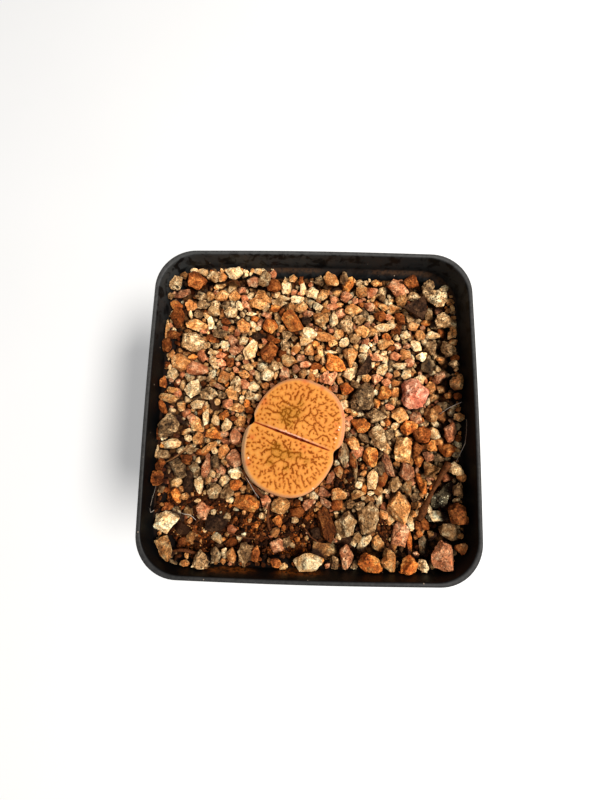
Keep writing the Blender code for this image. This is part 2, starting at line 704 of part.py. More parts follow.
def make_gravel(group, hole):
    """Top dressing: a bed of grit with crushed stones sunk into it, fused as one body."""
    block = bmesh.new()
    floor_z = MIX_TOP_Z - GAP
    size = Matrix.Diagonal((2.4 * RIM_HALF, 2.4 * RIM_HALF, BED_TOP_Z - floor_z, 1))
    bmesh.ops.create_cube(block, size=1, matrix=Matrix.Translation((0, 0, (BED_TOP_Z + floor_z) / 2)) @ size)
    gravel = mesh_object("gravel", group, block, material("mixed_grit", (0.52, 0.34, 0.20), 0.9))
    stones = new_collection("stones")
    for index, (spot, corners, length, width, turn, seed) in enumerate(stone_places()):
        hull = stone_hull(seed, corners, length, width, turn)
        lift = BED_TOP_Z + STONE_LIFT * STONE_HEIGHT * width
        hull.transform(Matrix.Translation((spot.x, spot.y, lift)))
        mesh_object(f"stone_{index}", stones, hull)
    boolean(gravel, "UNION", stones)
    remove_all(stones)
    ledge_z = STEP_TOP_Z + WALL + GAP
    above = [
        square_ring(inner_half(MIX_TOP_Z + GAP), MIX_TOP_Z + GAP),
        square_ring(inner_half(STEP_FOOT_Z), ledge_z),
        square_ring(COLLAR_FOOT_HALF - WALL - GAP, ledge_z + 0.02 * MM),
        square_ring(RIM_HALF - WALL - GAP, POT_HEIGHT + WALL),
    ]
    inside = mesh_object("inside", group, loft(above))
    boolean(gravel, "INTERSECT", inside)
    bpy.data.objects.remove(inside, do_unlink=True)
    boolean(gravel, "DIFFERENCE", hole)
    keep_main_body(gravel)
    shade(gravel, math.radians(25))
    return gravel


def main():
    """Build the four pieces of the potted plant."""
    clear_scene()
    group = new_collection("potted_lithops")
    cutters = new_collection("cutters")
    make_pot(group)
    hole = plant_cutter(cutters)
    make_mix(group, hole)
    make_gravel(group, hole)
    make_lithops(group)


main()
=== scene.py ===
"""Looks of a living stone (lithops) in a small square pot of crushed stone.

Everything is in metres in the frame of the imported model: the origin is in the middle of
the pot's foot, +Z is up, +X the right and +Y the top of the reference picture.
"""

import itertools
import math
import random

import bmesh
import bpy
import numpy as np
from mathutils import Euler, Matrix, Vector, kdtree


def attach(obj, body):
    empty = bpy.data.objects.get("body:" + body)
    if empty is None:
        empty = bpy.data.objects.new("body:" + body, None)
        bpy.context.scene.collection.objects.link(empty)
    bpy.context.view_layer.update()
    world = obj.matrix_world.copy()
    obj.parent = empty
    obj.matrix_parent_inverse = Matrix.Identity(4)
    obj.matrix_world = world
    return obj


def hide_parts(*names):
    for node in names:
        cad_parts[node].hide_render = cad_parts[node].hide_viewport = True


MM = 0.001
GAP = 0.3 * MM                      # clearance between pieces that touch
LEAST_PART = 0.05                   # keeps a division away from the middle of the plant
LEAST_TOWARD = 1e-6                 # what a stone's facets that face away from a point count for

# Pot
RIM_HALF = 32.68 * MM
COLLAR_FOOT_HALF = 32.3 * MM
BODY_TOP_HALF = 30.9 * MM
BODY_FOOT_HALF = 23.2 * MM
FOOT_CHAMFER = 0.6 * MM
RECESS_HALF = 16.0 * MM
RECESS_DEPTH = 1.0 * MM
POT_HEIGHT = 58.0 * MM
STEP_TOP_Z = 52.1 * MM
STEP_FOOT_Z = 51.5 * MM
WALL = 0.9 * MM
LIP_ROUND = 0.38 * MM
EDGE_ROUND = 0.5 * MM
ROUND_STEPS = 4
ROUND_SHARE = 0.45                  # most of a side that the rounding of its corner takes
CORNER_RADIUS = 8.3 * MM
SIDE_BOW = 0.25 * MM
CORNER_STEPS = 16
SIDE_STEPS = 44
WALL_RINGS = 6
POT_CREASE = math.radians(40)       # its edges stay sharp from this angle up
DRAIN_RADIUS = 2.6 * MM
DRAIN_REACH = 9.5 * MM
DRAIN_SIDES = 40
DRILL_DEPTH = 8 * WALL

# Fill
BED_TOP_Z = 51.2 * MM
BED_FOOT_Z = 47.1 * MM
BED_RELIEF_Z = 50.2 * MM            # mean height of the fine bed between the stones
BED_RELIEF = 0.42 * MM
BED_CRUMBS = (                      # weight, size and shift of each noise in its relief
    (1.0, 1.5 * MM, 0),
    (0.6, 0.7 * MM, 9),
    (0.3, 0.35 * MM, 5),
)
BED_PEAT_RISE = 0.9 * MM            # of bare peat over the rest of the bed
BED_WALL_RISE = 1.5 * MM            # towards the ledge
BED_WALL_REACH = (2.5 * MM, 0.3 * MM)   # start and end of that rise, inside the ledge
GRIT_SEED = 3
GRIT_COUNT = 3600
GRIT_SIZE = 0.62 * MM
GRIT_RISE = 0.4 * MM
GRIT_PRESSED = 0.6                  # of its rise that it loses on bare peat
BED_ANGLES = 560
BED_RINGS = 60
LEDGE_TOP_Z = STEP_TOP_Z + WALL
LEDGE_INNER = BODY_TOP_HALF - WALL
LEDGE_CLEAR = 0.1 * MM
COLLAR_INNER = COLLAR_FOOT_HALF - WALL - LEDGE_CLEAR
GROUND_OVER_LEDGE = 0.25 * MM
GROUND_REACH = 1.8 * MM             # how far inside the ledge the ground starts to rise
RING_ROUNDS = 12                    # of halving the error of a ring through a point
WALL_ROUNDS = 24                    # and of a point on a ring
WALL_FAR = 2.5 * RIM_HALF           # past any wall, from any place inside
SHADE_Y = (-16 * MM, 6 * MM)         # painted shade: stones get paler from front to back
SHADE_X = (2 * MM, 12 * MM)          # and away from the side walls
SHADE_PATCHES = (                    # painted shade where stones are darker: middle and half sizes, picture points
    (210, 402, 30, 28), (282, 372, 26, 14), (428, 370, 18, 13), (450, 402, 26, 28), (345, 470, 16, 20),
    (395, 476, 20, 14), (304, 522, 24, 20), (226, 545, 20, 12), (318, 540, 16, 14),
)
PATCH_EDGE = (-0.15, 0.25)          # soft edge of all such patches, as parts of their size
PATCH_SIZE = 4.2 * MM               # of paler and darker patches of stones
PATCH_SHIFT = 21
TONE_DRAWN = 0.62                   # shares of a stone's tone: its own,
TONE_UNSHADED = 0.16                     # of a place out of the walls' painted shade,
TONE_PATCH = 0.26                   # of a paler patch,
TONE_SHADE = 0.34                    # of a patch of painted shade, which darkens,
TONE_BASE = 0.02                    # and of them all
STONE_LEVEL_Z = 52.6 * MM           # height at which the stones' outlines were read
STONE_HEIGHT = 0.80                 # as a part of the width
BARK_HEIGHT = 0.4
STONE_LIFT = 0.22                   # of the middle over the bed, as a part of the height
LEDGE_LIFT = 0.5                    # over the ledge
LEDGE_SEEN = 0.8                    # of the rise near the ledge that moves the outlines' level
SMALL_STONE = 3 * MM                # stones under this size
SMALL_LIFT = 0.2                    # are lifted by this share of what they lack
ROW_SEED = 1000                     # a listed stone's seed is its place, x times this plus y
STONE_TILT = math.radians(14)
STONE_CREASE = math.radians(24)     # edges of the faces stay sharp from this angle up
STONE_FACETS = (8, 12)
STONE_FACET_REACH = (0.70, 1.0)
STONE_FACET_STRAY = 0.26
STONE_EDGE = (14, 44)               # power that rounds the edges between its facets
ROUND_EDGE = (9, 11)                # the same for a round kind
EDGE_SPAN = 0.16                    # how alike two facets' reaches are at an edge
STONE_GROW = ((2.0 * MM, 1.16), (4.6 * MM, 1.02))   # of small and large outlines, partly hidden nearby
STONE_MESH = 0.42 * MM              # aimed size of its faces
STONE_PARTS = (3, 13)               # fewest and most parts of a side of its icosahedron
STONE_SHIFT = 50                    # range in which the noise of each stone starts
STONE_HUMPS = ((0.09, 1.4), (0.06, 3.1))    # height as a part of the half size, and waves in it
CREASE_DEPTH = 0.10
CREASE_WAVES = 1.7
CREASE_SHIFT = 3
CREASE_POWER = 4
CREASE_PATCHES = 1.3                # waves of the noise that says where the creases are
CREASE_PATCH_SHIFT = 7
CREASE_PATCH_SPAN = (0.0, 0.4)
STONE_GRAIN = ((0.9 * MM, 0.085 * MM), (0.45 * MM, 0.05 * MM))
GRAIN_FULL = 2.5 * MM               # width from which a stone has its full grain
PIT_SIZE = 0.62 * MM
PIT_SHIFT = 9
PIT_SPAN = (0.25, 0.6)
PIT_DEPTH = 0.16 * MM
PIT_FULL = 3 * MM                   # width from which a stone has its full pits
LOW_SHADE_SPAN = (0.15, -0.7)             # painted shade: heights between which a stone's side turns dark, of its half height
LOW_SHADE_SHARE = 0.6
ROUGH_KINDS = ("pumice", "grey", "granite", "peat", "coral")
ROUGHER = 1.5                       # roughness of those kinds
SMOOTHEST = 0.7                     # roughness without pits
ROUND_KINDS = ("coral",)
LEDGE_BARE_Y = 24.0 * MM            # behind this the ledge stays bare,
LEDGE_BARE_X = (-8 * MM, 29 * MM)   # over this width
LEDGE_BARE_GAP = 0.4 * MM           # and the stones end this far inside it
# Painted shade in the crevices between the stones, from how deep they lie under their neighbours
CREVICE_CELL = 0.28 * MM
CREVICE_CELLS = 4                   # how far round a point the heights count
CREVICE_FALL = 1.5                  # how steeply their weights fall
CREVICE_DEPTH = (-0.05 * MM, 1.0 * MM)

# Plant
PLANT_TOP_Z = 55.8 * MM
PLANT_HALF_LENGTH = 9.7 * MM
LOBE_HALF = 12.3 * MM               # reach of the leaf on each side of the fissure
OUTLINE_POWER = 2.4
NOTCH_DEPTH = 1.15 * MM
NOTCH_HALF = 1.25 * MM
NOTCH_START = 0.7                   # size of the ring that they start from
NOTCH_FOOT = 8.0 * MM               # under the top, where the notches end
LOBE_SHIFT = 0.28 * MM              # of each lobe along the fissure, the upper one to the right
CROWN = 0.9 * MM
SHOULDER_START = 0.92
SHOULDER_DROP = 1.2 * MM
FISSURE_HALF = 0.21 * MM
FISSURE_CLOSING = 0.9               # of its width towards its ends
FISSURE_POWER = 1.4
FISSURE_STRAY = 0.25                # of its width along it
FISSURE_WAVE = 0.9 * MM
FISSURE_END = (7.0 * MM, 8.3 * MM)  # closes here on the right
FISSURE_DEPTH = 1.1 * MM
FISSURE_WALL = (0.06 * MM, -0.8 * FISSURE_HALF)     # from its edge, where it starts and is deepest
FISSURE_LIP = 0.45 * MM
FISSURE_DIP = 0.35 * MM
SEAM_EDGE = 0.12 * MM               # how far the seam's colour goes past the fissure's edge
SEAM_OPEN = 0.15                    # opening from which it shows in full
LIT_LIP = (0.62 * MM, 0.42 * MM)    # outer and inner edge of the pale lip over the fissure
LIT_HALF = 4.6 * MM
LIT_MEAN = 0.75
LIT_STRAY = 0.5
LIT_NOISE = (0.35 * MM, 27)         # size and shift of a noise
FLANK = (                           # depth under the top, and size of the outline there
    (2.4 * MM, 1.0),
    (3.4 * MM, 1.0),
    (5.6 * MM, 0.965),
    (9.0 * MM, 0.84),
    (13.5 * MM, 0.62),
    (18.0 * MM, 0.38),
    (22.0 * MM, 0.21),
    (28.0 * MM, 0.125),
    (36.0 * MM, 0.05),
)
FLANK_STEPS = 26
FACE_ANGLES = 520
FACE_RINGS = 118
PLANT_CLEAR = 1.035                 # size of the outline that stones stay out of
SKIN_WAVES = (                      # depth, size and shift of each noise in the faces
    (0.05 * MM, 1.5 * MM, 7),
    (0.014 * MM, 0.4 * MM, 3),
)

# Marks of the plant
MARK_SEED = 5
LINE_STEP = 0.05 * MM
LINE_WOBBLE = 0.11 * MM
LINE_WAVE = 0.4 * MM
LINE_SHIFTS = (40, 60)              # of the noise that strays a line, along and across
LINE_REACH = 2.4                    # of the broader lines round the windows, in millimetres
MARGIN = 1.0 * MM                   # paler edge of the outline
MARGIN_WIDE = 1.1 * MARGIN          # its inner edge, where the small marks start
MARGIN_FULL = 0.15 * MM             # it has its full colour from here out
MARGIN_FLAT = 0.3 * MM              # and no relief from here out
FISSURE_MARGIN = 0.5 * MM
MARK_HALF = 0.11 * MM
MARK_HALF_WINDOW = 0.15 * MM
MARK_SPREAD = 0.25                  # of the widths of the marks
MARK_DEPTH = 0.07 * MM
MARK_SOFT = 0.065 * MM
MARK_ROUGH = 0.05 * MM
MARK_NOISE = (0.3 * MM, 11)
HALO_WIDTH = 0.24 * MM
TAPER = (0.15, 0.85)                # part of half a wave that a line's width follows
TAPER_POWER = 0.5
DOT_HALF = 0.15 * MM
STUB_EVERY = 18                     # points of a listed line for each short side branch
STUB_LENGTH = (0.15 * MM, 0.45 * MM)
STUB_LEAN = 0.7
STUB_HALF = 0.8                     # of the line's width
SMALL_TRIES = 5000                  # of small marks drawn in the room between the others
SMALL_ROOM = 0.48 * MM
SMALL_LENGTH = (0.08 * MM, 0.85 * MM)
SMALL_TURN = 0.7
SMALL_HALF = (0.5, 0.95)
SMALL_SKIPPED = 0.75                # share of them left out close to the windows
SMALL_FORKS = 0.5                   # share of them with a side branch
FORK_LEAN = 0.5
FORK_LENGTH = 0.4
SMALL_HUBS = ((292, 415), (280, 452))   # picture points that they run out from, on each lobe
ISLAND_RISE = 0.05 * MM
ISLAND_WIDTH = 0.28 * MM
# Painted highlights on the skin: rise under them, span, stray and noise
SKIN_GLINT_RISE = 0.05 * MM
SKIN_GLINT_SPAN = (0.45, 0.75)
SKIN_GLINT_STRAY = 0.6
SKIN_GLINT_NOISE = (0.2 * MM, 15)

# Reference picture
EYE = Vector((-1.38 * MM, -6.06 * MM, 121.47 * MM))
EYE_TURN = Euler((math.radians(6.85), math.radians(0.52), math.radians(1.31)))
PICTURE_MIDDLE = (300, 400)
PICTURE_HEIGHT = 800
FOCAL = 325
SENSOR = 36
NEAREST = 0.001
FARTHEST = 20
FISSURE_LEFT = (254.5, 422)
FISSURE_RIGHT = (333, 452)
OUTLINE_LEVEL_Z = 53.8 * MM
FACE_LEVEL_Z = 55.4 * MM

# Dust on the ledge and brown splashes low on the front wall: middle and half sizes
DUST_PATCHES = ((293, 273, 30, 9), (405, 272, 34, 8), (448, 287, 14, 20), (155, 430, 8, 90))
DUST_LEAST = 0.25                   # on the rest of the ledge
DUST_HEIGHTS = (0.5 * MM, 0.1 * MM)     # over the ledge, from none to full
DUST_INSET = (0.3 * MM, 0.4 * MM)   # from the ledge's inner edge and from the wall
SPLASH_PATCHES = ((229, 572, 26, 6), (298, 574, 24, 6))
SPLASH_TOP = 1.0 * MM               # under the rim
SPLASH_FULL = 1.2 * MM              # over the ledge
LIP_WEAR_AND_HIGHLIGHT = (0.5, 0.05)              # depths under the rim, from none to full, of its rounding, with wear and a painted highlight

# Olive windows, reddish tints and painted highlights of pale skin: picture point and reach in millimetres
WINDOWS = (
    (288, 411, 1.5), (297, 414, 1.2), (283, 420, 0.9), (290, 424, 0.9), (284, 414, 0.8),
    (276, 452, 1.5), (277, 446, 0.9), (283, 456, 0.9), (288, 453, 0.8), (300, 455, 0.7),
    (301, 404, 0.8), (293, 457, 0.9), (307, 461, 0.7), (270, 462, 0.8), (286, 468, 0.8),
)
NEAR_WINDOWS = [(px, py, LINE_REACH) for px, py, reach in WINDOWS]
RED_TINTS = (
    (337, 431, 0.45), (336, 424, 0.35), (305, 381, 0.7), (264, 401, 0.9), (247, 463, 0.7),
    (252, 437, 0.6), (322, 388, 0.5), (304, 447, 0.6), (345, 414, 0.6),
)
SKIN_GLINTS = (
    (340, 427, 0.26), (339, 430, 0.18), (336, 438, 0.22), (335, 442, 0.16), (248, 458, 0.24),
    (313, 489, 0.25), (289, 405, 0.14), (286, 431, 0.14), (292, 434, 0.13),
)

# Marks of the two faces, line by line: x and y of each corner in picture points
MARKS = (
    (281, 386, 282.5, 389.5), (286, 385, 286.5, 388.5), (290.5, 384, 290.5, 389),
    (295, 382.5, 297, 384.5), (302.5, 384.5, 301, 386, 299.5, 386.5, 299, 389),
    (308.5, 384, 307.5, 386.5, 306.5, 388.5), (307.5, 386.5, 309.5, 388),
    (298.5, 390.5, 297.5, 393, 295.5, 396, 295, 400),
    (304, 396, 303, 393.5, 301, 395.5, 300.5, 400, 299.5, 403, 297.5, 404.5),
    (314.5, 389, 313, 390.3, 310, 390.7, 308.5, 393.5, 308, 397, 306.5, 400),
    (308.5, 393.5, 311.5, 391.5), (321, 391.5, 321.5, 394.5), (320.5, 396.5, 321.5, 398),
    (316.5, 394, 316.5, 397, 313.5, 399.3, 311, 400.7),
    (327, 395, 325.5, 397.5, 326.5, 399.7, 329.7, 399),
    (285.5, 392.5, 287, 394, 290, 395, 291, 397.5, 290, 399.7),
    (269.5, 394.5, 272, 396, 275, 397, 279, 396.5),
    (279.5, 396, 282, 398.5, 283, 400.3, 281, 402, 280, 404),
    (283.5, 400.5, 287, 403, 290, 405.5, 294, 406.5, 296.5, 407), (269, 404.5, 272.5, 404.5, 275, 406.5),
    (276, 404, 278, 406.5, 280.5, 409), (265, 408.3, 268, 408.5, 270.5, 409.7), (262, 407, 261, 409.5),
    (271, 410.5, 274, 412.5, 279, 413, 282, 412.3), (280, 413, 281.5, 415), (267, 413.5, 269.5, 415),
    (261, 418.5, 263, 419.7), (272, 418.5, 275.5, 419.5), (282.5, 410, 285.5, 408.7, 290, 409.3),
    (286.5, 409, 286, 412.5, 284.5, 415.5, 283, 418.5, 281.3, 422.5),
    (286, 413, 288.7, 416.3, 287.7, 419.3, 285, 418.7), (288.7, 416.3, 291.3, 417.3),
    (290, 409.3, 290.3, 412, 288.7, 413.7), (281.3, 419, 284.3, 420.7, 285.3, 423.3, 285.5, 425.5),
    (285.5, 425.5, 289, 425), (285.5, 425.5, 286.7, 428.7), (288, 421, 291, 421.5),
    (296.5, 407, 299.3, 409.7, 296.5, 412.5, 295.8, 414.5), (292.5, 408.5, 296.5, 407),
    (299.5, 409.7, 302.5, 410.5, 304, 408.5, 305.5, 407),
    (295.8, 414.5, 297.5, 417, 298, 419.7, 297, 422.5), (292, 418, 294, 416.7, 295.8, 415),
    (292, 421, 294.5, 423, 296.5, 422.8), (297, 422.8, 295.5, 426, 294.3, 429.5),
    (297.5, 422.7, 300, 421.3, 304, 420.3, 307, 422.5, 310, 425, 313, 426),
    (310, 408, 310.5, 411.5, 312, 414), (310.3, 413, 307, 415.5, 304.5, 418, 304, 420),
    (310, 404.5, 308, 406), (314.5, 400.5, 315.5, 402.5), (326, 402.5, 324, 404, 320, 404.5, 317.5, 407),
    (328, 406, 327.5, 408, 325.3, 408.6), (336, 404, 335, 405.7), (337, 406.5, 338.5, 408.5),
    (331, 409.5, 332.5, 408.5), (320, 410.3, 317.5, 411, 317, 413.5, 315.5, 416, 314, 418.5),
    (316.5, 409.5, 317.2, 411.5), (315.5, 416, 312.5, 415),
    (314, 418.5, 316, 421, 318, 423, 321, 426, 323.3, 428.3),
    (316, 422.3, 313.5, 424.5, 313.5, 428, 315, 430.3, 316.5, 432, 317.5, 435.5),
    (313.5, 429.3, 310.5, 430.5, 309.5, 433, 308.5, 435.5), (320, 415.7, 322.5, 416.3),
    (326.5, 418.3, 325.5, 420.5, 325, 423.3), (324.5, 420, 326.8, 420.3),
    (328.5, 413.5, 331, 415.5, 333.7, 416.7, 334.7, 414.7, 338.5, 412.5),
    (341, 417.5, 338, 420, 335, 421, 332.5, 422.5), (327.5, 429, 330, 428.5, 334, 427.5),
    (323, 430, 324.7, 431.7), (333.5, 433.5, 337.5, 435.5), (332.5, 439, 334.3, 439),
    (317.5, 439.7, 319.5, 437, 323.5, 435), (323.5, 435, 327.3, 436.7, 329, 440, 330, 442),
    (256, 427.5, 258, 430.7), (251, 430.3, 253, 431.5), (264.5, 432.5, 266.5, 433.5, 269, 435.7),
    (266.5, 433.5, 268, 431.8), (249.5, 435, 249, 437.5), (262, 437.5, 264.3, 438.7),
    (259.3, 439.5, 260, 442.5, 257.5, 442), (246.5, 443, 249.5, 442.3), (252.5, 443, 255.5, 442),
    (246, 447, 248, 446.5), (261.5, 444.7, 262.7, 446.3, 265.3, 445.3),
    (252.5, 450, 255.5, 449, 258, 447.7, 260, 448.3), (246, 454, 248, 452.3), (254.7, 455.5, 252.5, 458),
    (253.7, 457, 256.3, 458), (261, 452.5, 262.3, 455), (260, 459.3, 262.3, 459.5),
    (248, 464.7, 250, 464.3), (256, 466.5, 257, 468.3),
    (267, 440, 269.5, 442.5, 272, 444, 276, 445, 279, 446), (274, 440, 276, 442.5, 276, 446),
    (276, 446, 275, 448.7), (279, 446, 278.5, 449),
    (261.5, 453, 264, 451.3, 267, 449.5, 270, 448.5, 275, 448.5, 279, 449, 282, 451),
    (272, 449, 271.3, 453, 274, 456, 279, 457.3, 281.5, 455, 282, 451),
    (271, 456, 268.3, 457.3, 267.5, 460.5), (280, 457, 280.3, 459.5, 278, 461),
    (261, 464.5, 264, 463.5, 266.5, 460.7, 268.5, 461, 271, 462.5, 273, 463.5, 276, 462, 278, 461),
    (282.7, 441.5, 284, 445, 287, 448, 288, 450.3), (283, 442.5, 286, 441.3),
    (290.7, 442, 290.3, 446, 288.7, 449), (282.3, 453, 285, 451, 288, 450.3),
    (288.3, 450, 288, 453, 288.7, 457), (288.7, 452.5, 293, 452.7, 297, 452.3, 300, 452.3),
    (301.3, 448.7, 299.3, 450), (300.3, 452.5, 300.3, 456, 302, 458.3, 305, 458.5, 308, 458.7),
    (308, 451.5, 310, 452.5, 313, 453), (317, 454.3, 317, 457.3),
    (313.5, 458, 317, 457, 320.5, 457.2, 324, 458.5, 327.3, 459.7), (325.7, 458.7, 327, 456.3),
    (310.7, 458.7, 313.3, 459.5), (280.5, 459.5, 284, 461, 287.7, 462.3, 288, 465.5, 285, 468, 282, 470),
    (296.3, 458, 299.3, 456.7), (296.5, 457.5, 296.3, 463, 298, 465.7, 300.3, 466.7),
    (291, 466.7, 294, 464.7, 296.5, 463.7), (291.3, 467, 292.7, 470, 293, 473.3),
    (273, 463.5, 273.2, 467, 274, 470, 273.7, 474.3), (273, 466.7, 270, 467.7), (265, 470, 265, 473.5),
    (268, 471.7, 272, 471), (260, 470, 259.7, 474, 258, 477.3),
    (282, 470, 282, 472.5, 283.7, 476, 283, 480, 282.7, 483), (279, 474.7, 281.7, 472.7),
    (284.7, 474.7, 286.7, 473.3), (297.5, 470.5, 296, 473.7, 297.7, 477.5),
    (301, 475, 302, 479, 303.5, 483, 304.7, 487), (288.5, 479.5, 288.5, 484, 290, 487, 290.7, 490),
    (293, 480, 295.5, 483.5, 300, 488), (297, 485.5, 296.5, 488.5), (279.5, 478, 279, 480.5),
    (274.5, 480.5, 274.5, 484, 276.3, 487, 275, 489.7), (276.3, 487, 277.7, 489),
    (284.7, 483.5, 283.3, 489), (270.5, 479.5, 270, 485), (267.7, 482.5, 266.5, 487),
    (261, 483.7, 263, 482.3, 265.3, 482.3), (307, 479.3, 308, 481.5, 310.3, 484),
    (310, 477.5, 312, 477, 315.7, 479.3), (311, 467, 312.2, 469.7), (303.5, 464.5, 303.2, 468.7),
    (305.7, 464, 303.5, 466.3), (316, 468, 318.7, 471, 319.7, 474.7),
    (311, 462.7, 313, 462, 316.3, 464.7), (322.3, 463, 325.7, 464.7), (307.5, 470, 307, 473.3),
)
DOTS = (
    (277, 389), (272.5, 392), (295.5, 389), (317.5, 390), (316.7, 394.5), (265, 399), (270, 399.5),
    (262, 403.7), (260, 414), (264.5, 415), (268.7, 419.3), (266, 422.5), (273.5, 424.5), (278, 420),
    (287, 393.7), (301.7, 418), (335.3, 405), (331.5, 409), (321.3, 416), (323.7, 431), (333.3, 439),
    (328, 429), (326.5, 419.5), (309, 405.3), (257, 429.5), (252, 439), (266, 433.3), (263, 438.3),
    (252.7, 462.3), (261.7, 454.5), (261, 459.5), (254, 474.3), (265, 478), (294, 449.3), (322.5, 470.3),
    (296.5, 445), (258, 434), (282.3, 478), (275, 466), (305, 473.5), (309, 452.3), (312.5, 459),
    (247, 437.5), (283, 442), (304, 468.5), (326.5, 456.7), (262, 471.3), (316, 473),
)

